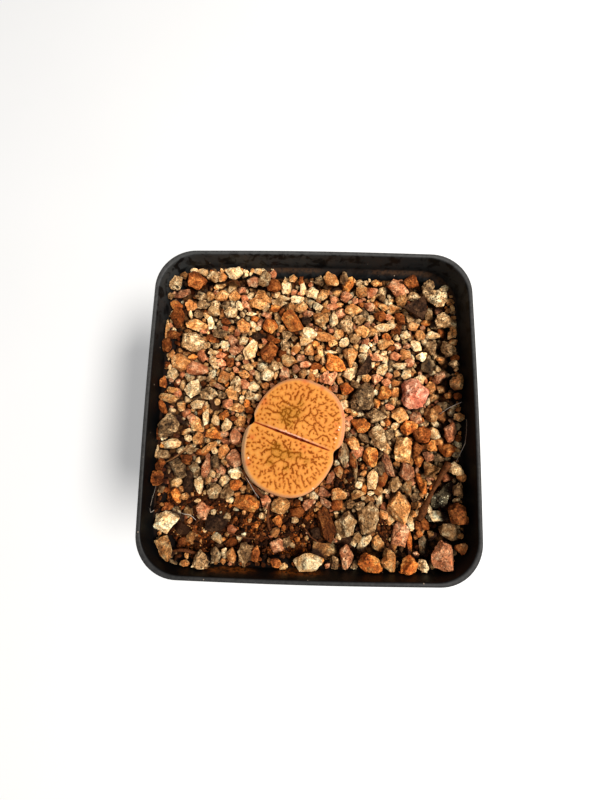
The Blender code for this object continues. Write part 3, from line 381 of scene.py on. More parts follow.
# Stones that stand out, by kind: place, length and width in picture points, and the turn
# of the length in degrees from the picture's right
STONES = {
    "cream": (
        (164, 522, 24, 20, 0), (250, 350, 22, 13, 80), (235, 273, 16, 13, -20), (209, 321, 13, 7, 85),
        (231, 311, 13, 11, 30), (213, 310, 12, 9, -30), (286, 285, 15, 12, -60), (312, 291, 13, 12, 0),
        (303, 286, 14, 6, 85), (297, 298, 13, 8, 10), (309, 333, 17, 12, -20), (305, 340, 12, 8, 0),
        (334, 319, 16, 8, 88), (385, 326, 22, 8, 8), (435, 334, 15, 8, 5), (406, 334, 10, 9, -30),
        (417, 345, 13, 9, -40), (423, 356, 11, 9, 20), (401, 365, 12, 7, 20), (192, 388, 18, 15, 50),
        (170, 444, 19, 9, 12), (225, 425, 13, 10, 90), (261, 366, 11, 8, -20), (267, 375, 12, 11, 0),
        (253, 386, 11, 9, 0), (350, 372, 15, 11, 50), (345, 341, 11, 8, 60), (331, 351, 13, 4, 5),
        (384, 369, 13, 9, 60), (373, 481, 18, 10, 85), (456, 469, 14, 11, -40), (440, 518, 18, 11, 0),
        (425, 547, 17, 8, 85), (308, 562, 27, 18, 10), (364, 545, 18, 9, 55), (175, 513, 14, 8, -60),
        (197, 486, 15, 9, -75), (234, 474, 13, 12, 0), (239, 305, 11, 8, -70), (195, 404, 14, 8, 15),
        (204, 418, 18, 6, 80), (436, 433, 12, 10, -45), (194, 270, 9, 5, 0), (189, 313, 9, 4, -85),
        (243, 339, 9, 8, 0), (283, 296, 12, 5, -5), (257, 327, 6, 4, 0), (250, 312, 10, 4, 0),
        (318, 305, 9, 8, 0), (372, 306, 6, 4, 0), (398, 337, 6, 6, 0), (213, 351, 9, 4, 0),
        (181, 385, 9, 5, -80), (216, 401, 6, 6, 0), (257, 397, 8, 7, 0), (365, 347, 9, 8, 0),
        (375, 392, 8, 5, 0), (187, 438, 8, 6, 0), (214, 451, 7, 6, 0), (155, 453, 12, 6, 80),
        (203, 517, 6, 5, 0), (212, 513, 5, 5, 0), (226, 517, 6, 6, 0), (218, 547, 7, 5, 0),
        (239, 540, 6, 6, 0), (262, 517, 6, 6, 0), (295, 521, 6, 6, 0), (216, 539, 11, 8, -30),
        (223, 555, 9, 5, -80), (169, 565, 9, 8, 0),
    ),
    "tan": (
        (237, 407, 14, 9, 0), (325, 335, 22, 9, -3), (389, 561, 20, 16, -60), (421, 334, 10, 9, -40),
        (401, 415, 17, 14, -20), (320, 319, 16, 13, -10), (195, 323, 24, 12, 0), (189, 303, 13, 11, 0),
        (257, 303, 20, 12, 5), (179, 361, 19, 18, 0), (243, 325, 15, 13, -60), (262, 295, 18, 13, -35),
        (301, 306, 13, 11, 0), (324, 293, 17, 9, 40), (354, 308, 16, 12, -10), (363, 330, 14, 12, 0),
        (362, 290, 12, 11, 80), (332, 277, 16, 12, -35), (385, 343, 13, 10, 0), (352, 354, 20, 14, -80),
        (320, 349, 12, 6, -75), (309, 349, 11, 9, 80), (406, 354, 12, 10, -50), (168, 398, 18, 8, -12),
        (179, 404, 13, 9, -50), (196, 425, 17, 11, -50), (196, 439, 12, 10, 90), (209, 447, 19, 7, 35),
        (222, 452, 14, 9, 75), (404, 450, 26, 20, 85), (433, 415, 14, 12, -50), (444, 417, 11, 9, 60),
        (441, 441, 10, 8, 80), (456, 383, 15, 12, 70), (444, 359, 12, 8, -30), (431, 470, 14, 14, 0),
        (340, 495, 14, 13, 0), (399, 507, 28, 22, 75), (378, 544, 14, 11, -70), (325, 551, 26, 15, -12),
        (165, 546, 22, 13, -65), (463, 549, 13, 12, 0), (279, 506, 19, 17, 0), (354, 443, 14, 10, -45),
        (340, 472, 12, 8, -80), (403, 297, 16, 11, 75), (413, 325, 11, 9, 0), (460, 417, 10, 8, 0),
        (231, 393, 14, 11, -60), (222, 376, 13, 12, 0), (233, 294, 11, 10, 0), (221, 294, 14, 10, 0),
        (219, 283, 14, 8, 20), (358, 495, 13, 8, 10), (288, 359, 18, 11, -10), (231, 557, 12, 8, -70),
        (385, 305, 13, 6, -25), (184, 275, 8, 7, 0), (222, 275, 8, 8, 0), (165, 330, 18, 5, 85),
        (293, 276, 8, 7, 0), (340, 303, 8, 5, 0), (377, 281, 9, 7, 0), (332, 342, 8, 7, 0),
        (451, 335, 8, 5, 80), (170, 389, 10, 6, 0), (244, 374, 11, 8, 0), (275, 375, 7, 4, 80),
        (265, 385, 8, 7, 0), (303, 373, 9, 7, 60), (367, 378, 8, 8, 0), (340, 397, 8, 6, 0),
        (398, 373, 7, 7, 0), (444, 389, 11, 8, 0), (439, 410, 8, 8, 0), (243, 475, 10, 6, -70),
        (462, 477, 10, 8, 0), (183, 497, 8, 6, 0), (189, 538, 10, 8, 60), (184, 564, 8, 7, 0),
        (275, 533, 8, 8, 0), (283, 566, 7, 6, 0), (417, 506, 9, 7, 0), (434, 536, 9, 7, 0),
        (450, 568, 16, 5, 5),
    ),
    "pink": (
        (253, 279, 13, 11, 0), (181, 292, 18, 8, 35), (346, 295, 12, 10, -10), (398, 287, 22, 19, -30),
        (234, 460, 17, 14, -50), (372, 290, 12, 10, 20), (196, 368, 22, 13, -3), (220, 362, 10, 8, 0),
        (227, 403, 11, 10, 45), (452, 432, 19, 12, 80), (418, 418, 14, 11, -60), (430, 457, 10, 10, 0),
        (325, 376, 13, 8, 60), (331, 377, 15, 11, 60), (379, 357, 13, 7, 0), (376, 379, 10, 9, 0),
        (358, 452, 12, 10, 30), (205, 467, 20, 8, 85), (201, 511, 16, 13, -60), (308, 505, 12, 8, 30),
        (324, 494, 12, 8, -20), (327, 504, 15, 8, -35), (347, 558, 20, 14, 85), (401, 537, 24, 17, 80),
        (442, 554, 26, 23, 85), (277, 547, 13, 12, 40), (265, 503, 14, 9, -80), (191, 419, 12, 8, -50),
        (389, 465, 26, 9, -65), (233, 349, 11, 10, 0), (441, 377, 14, 10, 45), (408, 473, 17, 15, -40),
        (237, 331, 9, 6, 70), (311, 283, 5, 5, 0), (245, 303, 8, 7, 0), (308, 312, 12, 7, 0),
        (264, 313, 6, 6, 0), (268, 315, 6, 6, 0), (334, 298, 8, 8, 0), (333, 305, 12, 6, 0),
        (371, 305, 10, 8, 0), (389, 315, 8, 6, 0), (377, 337, 10, 4, 85), (424, 327, 5, 5, 0),
        (220, 354, 10, 6, 0), (218, 386, 11, 5, -20), (175, 393, 10, 10, 0), (244, 384, 11, 8, -60),
        (282, 379, 4, 4, 0), (306, 363, 11, 6, 0), (296, 368, 8, 8, 0), (237, 363, 5, 5, 0),
        (235, 369, 6, 6, 0), (387, 382, 8, 8, 0), (391, 407, 8, 6, 0), (396, 355, 10, 9, 0),
        (408, 345, 7, 6, 0), (411, 362, 9, 9, 0), (223, 434, 9, 6, 0), (235, 438, 15, 12, 80),
        (250, 421, 6, 6, 0), (331, 478, 12, 6, 60), (448, 478, 9, 8, 0), (231, 531, 9, 8, 0),
        (417, 556, 6, 6, 0),
    ),
    "orange": (
        (386, 393, 14, 12, 60), (348, 283, 16, 12, 50), (293, 320, 25, 18, -40), (335, 363, 26, 17, -38),
        (362, 425, 18, 14, 0), (410, 427, 18, 14, 30), (213, 434, 17, 11, -5), (371, 458, 20, 14, -75),
        (246, 503, 26, 16, -5), (235, 485, 12, 10, 0), (433, 446, 12, 11, -50), (449, 450, 17, 13, 0),
        (408, 567, 20, 14, 80), (411, 545, 26, 6, 88), (370, 562, 22, 16, -35), (424, 486, 16, 8, -75),
        (420, 461, 11, 9, -80), (174, 495, 13, 9, -80), (347, 388, 13, 12, 0), (270, 325, 17, 14, -60),
        (384, 481, 14, 8, 80), (427, 322, 10, 6, 10), (451, 395, 7, 6, 0), (278, 522, 10, 8, -60),
        (421, 535, 6, 6, 0), (254, 317, 8, 6, 0), (275, 306, 9, 7, 0),
    ),
    "rust": (
        (337, 506, 12, 10, 30), (353, 460, 16, 7, -80), (275, 562, 9, 8, 0), (229, 362, 10, 8, 50),
        (196, 280, 19, 18, 0), (177, 316, 20, 13, 90), (173, 334, 12, 8, 0), (274, 284, 17, 14, -50),
        (382, 315, 14, 11, 0), (269, 351, 22, 16, 80), (423, 436, 18, 16, -50), (418, 450, 13, 10, 80),
        (401, 317, 14, 8, -60), (413, 279, 14, 12, -20), (457, 514, 20, 18, -60), (254, 556, 14, 9, 70),
        (232, 544, 14, 8, 20), (166, 345, 14, 11, 60), (162, 407, 15, 6, -60), (156, 477, 17, 13, 0),
        (326, 527, 36, 16, -75), (297, 513, 13, 10, 0), (156, 433, 12, 7, -60), (160, 464, 12, 8, 80),
        (225, 320, 10, 6, -20), (202, 383, 5, 5, 0), (163, 383, 11, 8, 80), (249, 410, 8, 6, 0),
        (444, 332, 11, 6, -70), (459, 396, 9, 6, 0), (184, 459, 11, 9, 0), (164, 491, 5, 5, 0),
        (179, 545, 12, 7, 60), (165, 508, 9, 9, 0), (200, 452, 12, 6, 0),
    ),
    "pumice": (
        (177, 468, 21, 14, -50), (431, 312, 16, 7, 85), (177, 283, 14, 13, 0), (201, 563, 24, 15, 75),
        (190, 341, 26, 20, -10), (213, 275, 13, 11, 30), (199, 294, 12, 10, 0), (264, 277, 15, 12, 80),
        (439, 298, 20, 19, 20), (446, 319, 24, 16, -22), (416, 295, 13, 9, 0), (347, 324, 15, 12, -50),
        (279, 301, 16, 9, -10), (235, 383, 14, 12, 80), (207, 393, 20, 13, -10), (249, 395, 12, 8, -10),
        (347, 525, 26, 21, 80), (369, 519, 32, 21, 85), (451, 533, 22, 15, -25), (378, 438, 26, 17, -70),
        (215, 556, 12, 10, 80), (213, 362, 13, 8, -60), (194, 470, 13, 9, -60), (214, 491, 15, 13, 80),
        (344, 453, 24, 10, -85), (285, 344, 11, 9, 80), (395, 485, 15, 12, 70), (424, 567, 13, 9, -75),
        (170, 295, 8, 6, 0), (286, 334, 10, 9, 0), (294, 337, 6, 6, 0), (360, 280, 6, 6, 0),
        (367, 280, 5, 5, 0), (360, 318, 11, 9, 0), (355, 337, 11, 10, 0), (176, 419, 10, 8, 0),
        (360, 507, 11, 8, 30), (358, 539, 10, 8, 80), (356, 470, 32, 5, -86),
    ),
    "grey": (
        (245, 554, 22, 16, 70), (169, 425, 26, 19, 80), (163, 455, 13, 8, -5), (350, 505, 9, 8, 0),
        (376, 415, 20, 14, 0), (454, 364, 9, 8, 0), (430, 285, 18, 11, 75), (436, 324, 12, 9, -50),
        (320, 278, 11, 9, 0), (344, 276, 12, 8, 80), (219, 332, 14, 9, 0), (202, 303, 14, 9, 0),
        (362, 399, 30, 25, 80), (365, 438, 14, 7, -40), (390, 435, 12, 10, 60), (380, 468, 12, 10, 80),
        (214, 461, 12, 8, 85), (226, 493, 16, 11, 60), (459, 489, 12, 9, 80), (447, 405, 14, 8, 0),
        (432, 347, 15, 13, 70), (449, 349, 15, 13, -30), (428, 365, 17, 13, 70), (198, 313, 10, 8, 0),
        (242, 313, 6, 6, 0), (327, 283, 8, 8, 0), (383, 296, 7, 7, 0), (221, 395, 8, 7, 0),
        (349, 435, 6, 6, 0), (439, 458, 10, 8, 0), (286, 543, 10, 8, 60), (416, 499, 10, 9, 0),
        (357, 385, 10, 8, 0),
    ),
    "granite": (
        (443, 497, 31, 15, 62), (432, 519, 8, 6, -30),
    ),
    "coral": (
        (415, 395, 31, 28, 75),
    ),
    "bark": (
        (181, 531, 17, 10, -30), (318, 535, 14, 12, 0), (256, 335, 17, 7, 0), (187, 483, 26, 10, -88),
        (213, 404, 14, 8, -60), (215, 524, 22, 16, 0), (306, 319, 9, 8, 0), (345, 543, 14, 8, 20),
    ),
}

# Flat dark chips of bark, by the corners of their outlines
CHIPS = (
    ((402, 308), (424, 296), (426, 311), (422, 321)),
    ((355, 376), (369, 354), (372, 369), (366, 375)),
)
CHIP_THICKNESS = 0.7 * MM
CHIP_OVER = 0.5 * MM                # of its foot over the level of the stones' outlines
CHIP_EDGE = 0.12 * MM
CHIP_EDGE_SHAPE = 0.6
CHIP_CUTS = 5
CHIP_ORDER_STEP = 0.0001 * MM       # measure that its points are put in order by
CHIP_NOISE = 0.8 * MM
CHIP_RELIEF = (0.05 * MM, 0.05 * MM, 0.09 * MM)
CHIP_TINTS = ((0.6, 0.2, 0.1), (0.6, 0.2, 0.4))
CHIP_CLEAR = 0.8                    # of its length, kept free of the drawn stones

# Stones drawn by a rule in the room that is left, in four sizes
FILL_SEED = 11
FILL_SEED_STEP = 100000
FILL_RUNS = (                       # tries, smallest and largest size, crowding, height of the middle
    (7000, 2.4 * MM, 3.4 * MM, 0.80, -0.35 * MM),
    (9000, 1.6 * MM, 2.5 * MM, 0.73, -0.25 * MM),
    (15000, 1.0 * MM, 1.6 * MM, 0.68, -0.3 * MM),
    (7000, 0.6 * MM, 1.0 * MM, 0.80, -0.25 * MM),
)
FILL_SPREAD = 0.3 * MM
FILL_SLIMNESS = (0.6, 0.95)
FILL_AT_WALL = 0.35                 # of its size that a stone stays off the wall
FILL_AT_PLANT = 0.45                # and off the plant
FILL_KINDS = {"cream": 29, "tan": 27, "pink": 15, "orange": 6, "rust": 7, "pumice": 10, "grey": 6}
PEAT_ROOM = 0.75                    # share of the small stones that stay on bare peat
PEAT_LIFT = 0.6                     # of the peat's rise that they follow
PEAT_LARGEST = 1.2 * MM
PEAT_KINDS = {"peat": 66, "rust": 12, "tan": 9, "cream": 7, "orange": 3, "pink": 3}
PEAT_PATCHES = (                    # middle and half sizes in picture points
    (226, 526, 46, 26), (296, 526, 42, 28), (268, 545, 48, 24), (345, 480, 12, 12),
    (205, 500, 22, 12), (188, 546, 24, 24), (170, 500, 14, 14), (384, 532, 12, 14),
)
CRUMB_KINDS = {"rust": 15, "orange": 4, "peat": 64, "tan": 10, "cream": 7}
CRUMB_PATCHES = (                   # of orange crumbs on the peat
    (206, 531, 13, 13), (252, 522, 11, 11), (288, 555, 24, 13), (302, 511, 13, 12), (164, 492, 8, 8),
    (212, 553, 10, 8), (185, 545, 10, 6), (295, 542, 12, 9),
)

# Twigs and hairs, as points of the picture with a height over the bed in millimetres
TWIG = (
    (449, 463, 3.2), (443, 473, 3.3), (437, 483, 3.2), (432, 492, 3.1), (427, 502, 3.0),
    (423, 511, 2.8), (419, 520, 2.2),
)
TWIG_RADIUS = (0.68 * MM, 0.54 * MM, 0.44 * MM, 0.42 * MM, 0.48 * MM, 0.78 * MM, 0.5 * MM)
TWIG_SIDES = 16
TWIG_KNOTS = (0.14 * MM, 0.6 * MM)  # depth and size of a noise
TWIG_BARK = (0.05 * MM, 0.25 * MM)
TWIG_CLEAR = 1.0 * MM               # kept free of the drawn stones round the twig
STRAND_STEPS = 8
STRAND_SIDES = 8
STRAND_TAPER = (0.12, 0.8)          # part of half a wave that its thickness follows
STRAND_NOISE = 0.5 * MM
STRAND_STRAY = 0.2                  # of its radius
STRANDS = {                         # material, radius in millimetres and points
    "straw": ("dry_straw", 0.18, ((163, 463, 2.0), (172, 459, 2.4), (182, 452, 2.7), (190, 446, 2.4))),
    "sheath": ("brown_root", 0.42, ((242, 470, 1.9), (249, 481, 2.3), (256, 490, 2.2), (264, 498, 1.4))),
    "rootlet_0": ("brown_root", 0.12, ((196, 540, 1.3), (194, 531, 1.9), (197, 522, 2.1), (205, 517, 1.6))),
    "rootlet_1": ("brown_root", 0.30, ((269, 503, 1.6), (268, 513, 2.0), (268, 522, 2.0), (270, 530, 1.4))),
    "rootlet_2": ("brown_root", 0.13, ((226, 531, 1.5), (236, 535, 1.9), (247, 538, 1.9), (260, 539, 1.4))),
    "rootlet_3": ("brown_root", 0.36, ((172, 551, 2.6), (182, 550, 2.9), (191, 552, 2.8), (199, 554, 2.3))),
    "rootlet_4": ("brown_root", 0.14, ((226, 284, 2.6), (232, 281, 3.3), (238, 282, 3.3), (240, 287, 2.6))),
    "rootlet_5": ("brown_root", 0.13, ((300, 524, 1.6), (306, 530, 2.1), (311, 537, 2.1), (320, 543, 1.6))),
    "hair_0": ("pale_hair", 0.03, ((462, 402, 4.0), (455, 405, 3.4), (447, 409, 2.6), (440, 414, 1.8))),
    "hair_1": ("pale_hair", 0.04, ((466, 419, 4.4), (468, 430, 4.2), (466, 441, 3.6), (461, 452, 2.8),
                                   (456, 462, 1.9))),
    "hair_2": ("pale_hair", 0.05, ((155, 485, 1.8), (153, 492, 2.6), (150, 500, 3.4), (147, 508, 4.0))),
    "hair_3": ("pale_hair", 0.04, ((147, 509, 4.2), (149, 513, 3.8), (153, 511, 3.0), (157, 507, 2.2))),
    "hair_4": ("pale_hair", 0.03, ((245, 476, 2.4), (250, 484, 2.8), (254, 491, 2.7), (259, 498, 2.2))),
    "hair_5": ("pale_hair", 0.04, ((179, 512, 2.0), (184, 514, 2.6), (190, 515, 2.4), (196, 520, 1.6))),
}

# Light
KEY_AZIMUTH = math.radians(-7)      # from +X towards the front
KEY_RISE = math.radians(56)
KEY_DISTANCE = 0.6
KEY_SIZE = (0.28, 0.14)             # broad from front to back
KEY_POWER = 4.7
KEY_COLOUR = (1.0, 0.97, 0.93)
SKY_STRENGTH = 0.4
FLOOR_GLOW = 0.16                   # the pale floor glows a little, painted light that lightens its shadow
FLOOR_HALF = 2.0


def srgb(red, green, blue):
    """Linear colour of display values from 0 to 255."""
    return tuple(((value / 255 + 0.055) / 1.055) ** 2.4 if value > 10 else value / 255 / 12.92
                 for value in (red, green, blue))


def below_picture(px, py, z):
    """Point that the reference picture shows at (px, py), at a given height."""
    ray = EYE_TURN.to_matrix() @ Vector((px - PICTURE_MIDDLE[0], PICTURE_MIDDLE[1] - py, -FOCAL))
    return EYE + ray * ((z - EYE.z) / ray.z)


def on_picture(points):
    """Picture points that show some places."""
    seen = (points - np.array(EYE)) @ np.array(EYE_TURN.to_matrix())
    return np.stack((PICTURE_MIDDLE[0] - FOCAL * seen[:, 0] / seen[:, 2],
                     PICTURE_MIDDLE[1] + FOCAL * seen[:, 1] / seen[:, 2]), axis=1)


def plant_axes():
    """Middle of the fissure and the directions along and across it, on the ground plan."""
    left = below_picture(*FISSURE_LEFT, OUTLINE_LEVEL_Z).xy
    right = below_picture(*FISSURE_RIGHT, OUTLINE_LEVEL_Z).xy
    along = (right - left).normalized()
    return (left + right) / 2, along, Vector((-along.y, along.x))


NOISE_CELLS = 64
NOISE_LATTICE = np.random.default_rng(1).uniform(-1, 1, (NOISE_CELLS,) * 3)


def noise(points):
    """Smooth random field from -1 to 1, at points counted in its own cells."""
    cell = np.floor(points).astype(int)
    part = points - cell
    part = part * part * (3 - 2 * part)
    total = np.zeros(len(points))
    for corner in itertools.product((0, 1), repeat=3):
        weight = np.prod(np.where(corner, part, 1 - part), axis=1)
        index = (cell + corner) % NOISE_CELLS
        total += weight * NOISE_LATTICE[index[:, 0], index[:, 1], index[:, 2]]
    return total


def noise_of(points, size, shift):
    """The same field at points, with cells of a size and moved on by a shift."""
    return noise(points / size + shift)


def smooth_step(low, high, value):
    """0 below low, 1 above high and smooth in between."""
    part = np.clip((value - low) / (high - low), 0, 1)
    return part * part * (3 - 2 * part)


# Nodes of the materials

def node(tree, kind, sockets=(), **settings):
    """Add a node with its settings, and set or link its sockets by name or number."""
    made = tree.nodes.new(kind)
    for name, value in settings.items():
        setattr(made, name, value)
    for name, value in dict(sockets).items():
        if isinstance(value, bpy.types.NodeSocket):
            tree.links.new(value, made.inputs[name])
        elif isinstance(value, tuple) and len(value) == 3 and made.inputs[name].type == "RGBA":
            made.inputs[name].default_value = (*value, 1)
        else:
            made.inputs[name].default_value = value
    return made


def mix(tree, factor, first, second, blend="MIX"):
    """Colour between two others."""
    sockets = {0: factor, 6: first, 7: second}
    return node(tree, "ShaderNodeMix", sockets, data_type="RGBA", blend_type=blend).outputs[2]


def math_node(tree, operation, first, second):
    """Result of one sum on two values."""
    return node(tree, "ShaderNodeMath", {0: first, 1: second}, operation=operation).outputs[0]


def times(tree, first, *others):
    """Product of values."""
    for other in others:
        first = math_node(tree, "MULTIPLY", first, other)
    return first


def plus(tree, first, *others):
    """Sum of values."""
    for other in others:
        first = math_node(tree, "ADD", first, other)
    return first


def remap(tree, value, span, result=(0.0, 1.0)):
    """Value from one range brought into another, and kept inside it."""
    sockets = {0: value, 1: span[0], 2: span[1], 3: result[0], 4: result[1]}
    return node(tree, "ShaderNodeMapRange", sockets, clamp=True).outputs[0]


def noise_node(tree, place, scale, detail=3.0, roughness=0.55, distortion=0.0):
    """Soft noise from 0 to 1."""
    sockets = {"Vector": place, "Scale": scale, "Detail": detail, "Roughness": roughness,
               "Distortion": distortion}
    return node(tree, "ShaderNodeTexNoise", sockets).outputs[0]


def cells_node(tree, place, scale):
    """Cells round scattered points: the distance to the nearest, and the cell's random colour."""
    made = node(tree, "ShaderNodeTexVoronoi", {"Vector": place, "Scale": scale})
    return made.outputs["Distance"], made.outputs["Color"]


def channels(tree, colour):
    """The three values of a colour."""
    return node(tree, "ShaderNodeSeparateColor", {0: colour}).outputs


def painted(tree, name):
    """The colour that the mesh holds under a name."""
    return node(tree, "ShaderNodeAttribute", attribute_name=name).outputs["Color"]


def marked(tree, name):
    """The value that the mesh holds under a name."""
    return node(tree, "ShaderNodeAttribute", attribute_name=name).outputs["Fac"]


def scaled(tree, vector, scale):
    """A vector times a number."""
    return node(tree, "ShaderNodeVectorMath", {0: vector, "Scale": scale}, operation="SCALE").outputs[0]


def new_material(name, sheen):
    """A material with its node tree, its shader, and the place on the piece in millimetres."""
    surface = bpy.data.materials.new(name)
    surface.use_nodes = True
    tree = surface.node_tree
    shader = tree.nodes["Principled BSDF"]
    shader.inputs["Specular IOR Level"].default_value = sheen
    place = scaled(tree, node(tree, "ShaderNodeTexCoord").outputs["Object"], 1 / MM)
    return surface, tree, shader, place


def bump(tree, shader, height, depth, strength):
    """Fine relief, its depth in millimetres."""
    made = node(tree, "ShaderNodeBump", {"Height": height, "Distance": depth * MM, "Strength": strength})
    tree.links.new(made.outputs[0], shader.inputs["Normal"])


def link(tree, shader, **sockets):
    """Link values to the shader's sockets, with _ for a space in a name."""
    for name, value in sockets.items():
        tree.links.new(value, shader.inputs[name.replace("_", " ")])


# Values of the materials. A noise is its patterns a millimetre, detail, roughness and distortion.
# A span is the part of a noise or mark that is used, and tones or shares are what it turns into.
UNIT = (0.0, 1.0)
FALLING = (1.0, 0.0)

# Display colours of each kind of stone: dark, main, light, stains and specks, then the shares
# of it that are stained and specked
STONE_LOOKS = {
    "cream": ((222, 166, 104), (255, 214, 156), (255, 248, 204), (222, 150, 68), (84, 54, 30), 0.35, 0.06),
    "tan": ((150, 94, 44), (218, 150, 84), (255, 216, 150), (194, 102, 38), (62, 38, 22), 0.4, 0.07),
    "pink": ((146, 80, 46), (212, 138, 92), (255, 206, 156), (206, 98, 42), (82, 42, 24), 0.35, 0.05),
    "orange": ((128, 60, 20), (216, 122, 48), (255, 186, 100), (178, 78, 24), (76, 34, 14), 0.5, 0.04),
    "rust": ((66, 31, 13), (138, 72, 32), (202, 124, 62), (162, 80, 28), (34, 15, 6), 0.4, 0.07),
    "pumice": ((104, 72, 38), (198, 153, 103), (255, 230, 178), (168, 112, 52), (60, 40, 24), 0.25, 0.26),
    "grey": ((46, 31, 18), (134, 100, 64), (214, 178, 128), (126, 80, 36), (34, 22, 13), 0.3, 0.24),
    "granite": ((32, 29, 19), (74, 66, 47), (114, 102, 76), (90, 64, 34), (206, 196, 160), 0.2, 0.24),
    "coral": ((196, 118, 84), (234, 172, 132), (255, 220, 186), (236, 104, 72), (92, 46, 24), 0.55, 0.07),
    "bark": ((26, 16, 9), (58, 37, 24), (98, 68, 45), (80, 46, 24), (16, 10, 7), 0.2, 0.10),
    "peat": ((14, 7, 3), (48, 24, 11), (112, 62, 26), (104, 52, 18), (14, 8, 4), 0.3, 0.12),
}
DULL_KINDS = ("bark", "peat", "rust")
DULL_SHEEN = 0.08
STONE_SHEEN = 0.2
STONE_ROUGHNESS = (0.92, 0.5)
STONE_PATTERN_SHIFT = 90.0          # sets the patterns of each stone apart
STONE_CLOUDS = (0.55, 6.0, 0.68, 0.2)
DARK_SPAN = (0.34, 0.50)
LIGHT_SPAN = (0.50, 0.64)
STONE_STAINS = (0.23, 4.0, 0.6, 0.3)
STAIN_SPAN = (0.50, 0.62)
STONE_CELLS = 2.6
SPECK_SPAN = (0.30, 0.55)
SPECK_COVER = 0.85
STONE_FINE = (3.6, 3.0, 0.7)
FINE_SPAN = (0.32, 0.68)
FINE_TONES = (0.38, 1.62)
# tones of each stone, which hold its painted shade by the walls and in patches
DRAWN_TONES = (0.46, 1.60)
CRYSTAL_TONES = (0.60, 1.34)
STONE_TONE = 0.97
# lighter edges of the stones: wear, and a painted highlight
EDGE_WEAR_AND_HIGHLIGHT_TONES = (0.94, 1.3)
# painted shade in the stones' pits
PIT_SHADE_TONES = (1.0, 0.45)
# painted shade low on each stone
LOW_SHADE_TONES = (1.04, 0.07)
WARM_SPAN = (0.5, 1.0)
WARM_SHARES = (0.0, 0.35)
# painted shade in the crevices: a dark warm brown
CREVICE_SHADE_COLOUR = srgb(46, 14, 2)
CREVICE_SHADE_SHARE = 0.7
STONE_LUMPS = (1.8, 5.0, 0.7)
FINE_RELIEF = 0.7
SPECK_SUNK = 0.5
CRYSTAL_RELIEF = 0.35
STONE_BUMP = (0.3, 1.0)             # depth in millimetres and strength, as for all the materials


def stone_material(kind):
    """Rough stone: clouded, stained and specked, with painted shade and highlights, and a tint and a
    pattern of its own for each stone.
    """
    *colours, stains, specks = STONE_LOOKS[kind]
    dark, body, light, stain, speck = [srgb(*colour) for colour in colours]
    sheen = DULL_SHEEN if kind in DULL_KINDS else STONE_SHEEN
    surface, tree, shader, place = new_material(kind + "_stone", sheen)
    tint = painted(tree, "tint")
    own = channels(tree, tint)
    edge, pit, low = channels(tree, painted(tree, "form_shading"))
    shift = scaled(tree, tint, STONE_PATTERN_SHIFT)
    place = node(tree, "ShaderNodeVectorMath", {0: place, 1: shift}, operation="ADD").outputs[0]
    clouds = noise_node(tree, place, *STONE_CLOUDS)
    colour = mix(tree, remap(tree, clouds, DARK_SPAN), dark, body)
    colour = mix(tree, remap(tree, clouds, LIGHT_SPAN), colour, light)
    stained = remap(tree, noise_node(tree, place, *STONE_STAINS), STAIN_SPAN)
    colour = mix(tree, times(tree, stained, stains), colour, stain)
    near, cell_colour = cells_node(tree, place, STONE_CELLS)
    drawn = channels(tree, cell_colour)
    chosen = math_node(tree, "LESS_THAN", drawn[0], specks)
    spot = times(tree, chosen, remap(tree, near, SPECK_SPAN, FALLING))
    colour = mix(tree, times(tree, spot, SPECK_COVER), colour, speck)
    fine = noise_node(tree, place, *STONE_FINE)
    # the stone's tone holds painted shade by the front and side walls and in patches
    shade = times(tree, remap(tree, fine, FINE_SPAN, FINE_TONES), remap(tree, own[0], UNIT, DRAWN_TONES))
    shade = times(tree, shade, remap(tree, drawn[1], UNIT, CRYSTAL_TONES), STONE_TONE)
    # edges lighter, partly a painted highlight; painted shade in the pits and low down
    for form_shading, tones in ((edge, EDGE_WEAR_AND_HIGHLIGHT_TONES), (pit, PIT_SHADE_TONES), (low, LOW_SHADE_TONES)):
        shade = times(tree, shade, remap(tree, form_shading, UNIT, tones))
    grey = node(tree, "ShaderNodeCombineColor", {0: shade, 1: shade, 2: shade}).outputs[0]
    colour = mix(tree, 1.0, colour, grey, "MULTIPLY")
    colour = mix(tree, remap(tree, own[1], WARM_SPAN, WARM_SHARES), colour, stain)
    # painted shade: dark warm brown low down and in the crevices
    colour = mix(tree, times(tree, low, CREVICE_SHADE_SHARE), colour, CREVICE_SHADE_COLOUR)
    link(tree, shader, Base_Color=colour, Roughness=remap(tree, drawn[2], UNIT, STONE_ROUGHNESS))
    relief = math_node(tree, "SUBTRACT", times(tree, fine, FINE_RELIEF), times(tree, spot, SPECK_SUNK))
    lumps = noise_node(tree, place, *STONE_LUMPS)
    relief = plus(tree, relief, lumps, times(tree, drawn[2], CRYSTAL_RELIEF))
    bump(tree, shader, relief, *STONE_BUMP)
    return surface


SKIN_SHEEN = 0.06
SKIN_GLOW = 0.16                    # share of the light that goes through the skin,
SKIN_GLOW_REACH = (1.0, 0.42, 0.16)     # how far in red, green and blue,
SKIN_GLOW_DEPTH = 0.9 * MM          # in this measure
SKIN_ROUGHNESS = (0.52, 0.68)
SKIN_ROUGHNESS_SPAN = (0.3, 0.7)
SKIN_CLOUDS = (0.35, 4.0, 0.6)
SKIN_CLOUD_SPAN = (0.35, 0.65)
SKIN_FINE = (3.2, 3.0, 0.6)
SKIN_CELLS = 6.5
SKIN_COLOURS = (srgb(211, 134, 57), srgb(221, 147, 65))
SKIN_LIGHT = srgb(232, 161, 86)
SKIN_LIGHT_SPAN = (0.35, 0.7)
SKIN_LIGHT_SHARES = (0.0, 0.4)
OLIVE_COLOURS = (srgb(140, 84, 12), srgb(190, 126, 38))
OLIVE_SPAN = (0.38, 0.62)
OLIVE_SHARE = 0.5
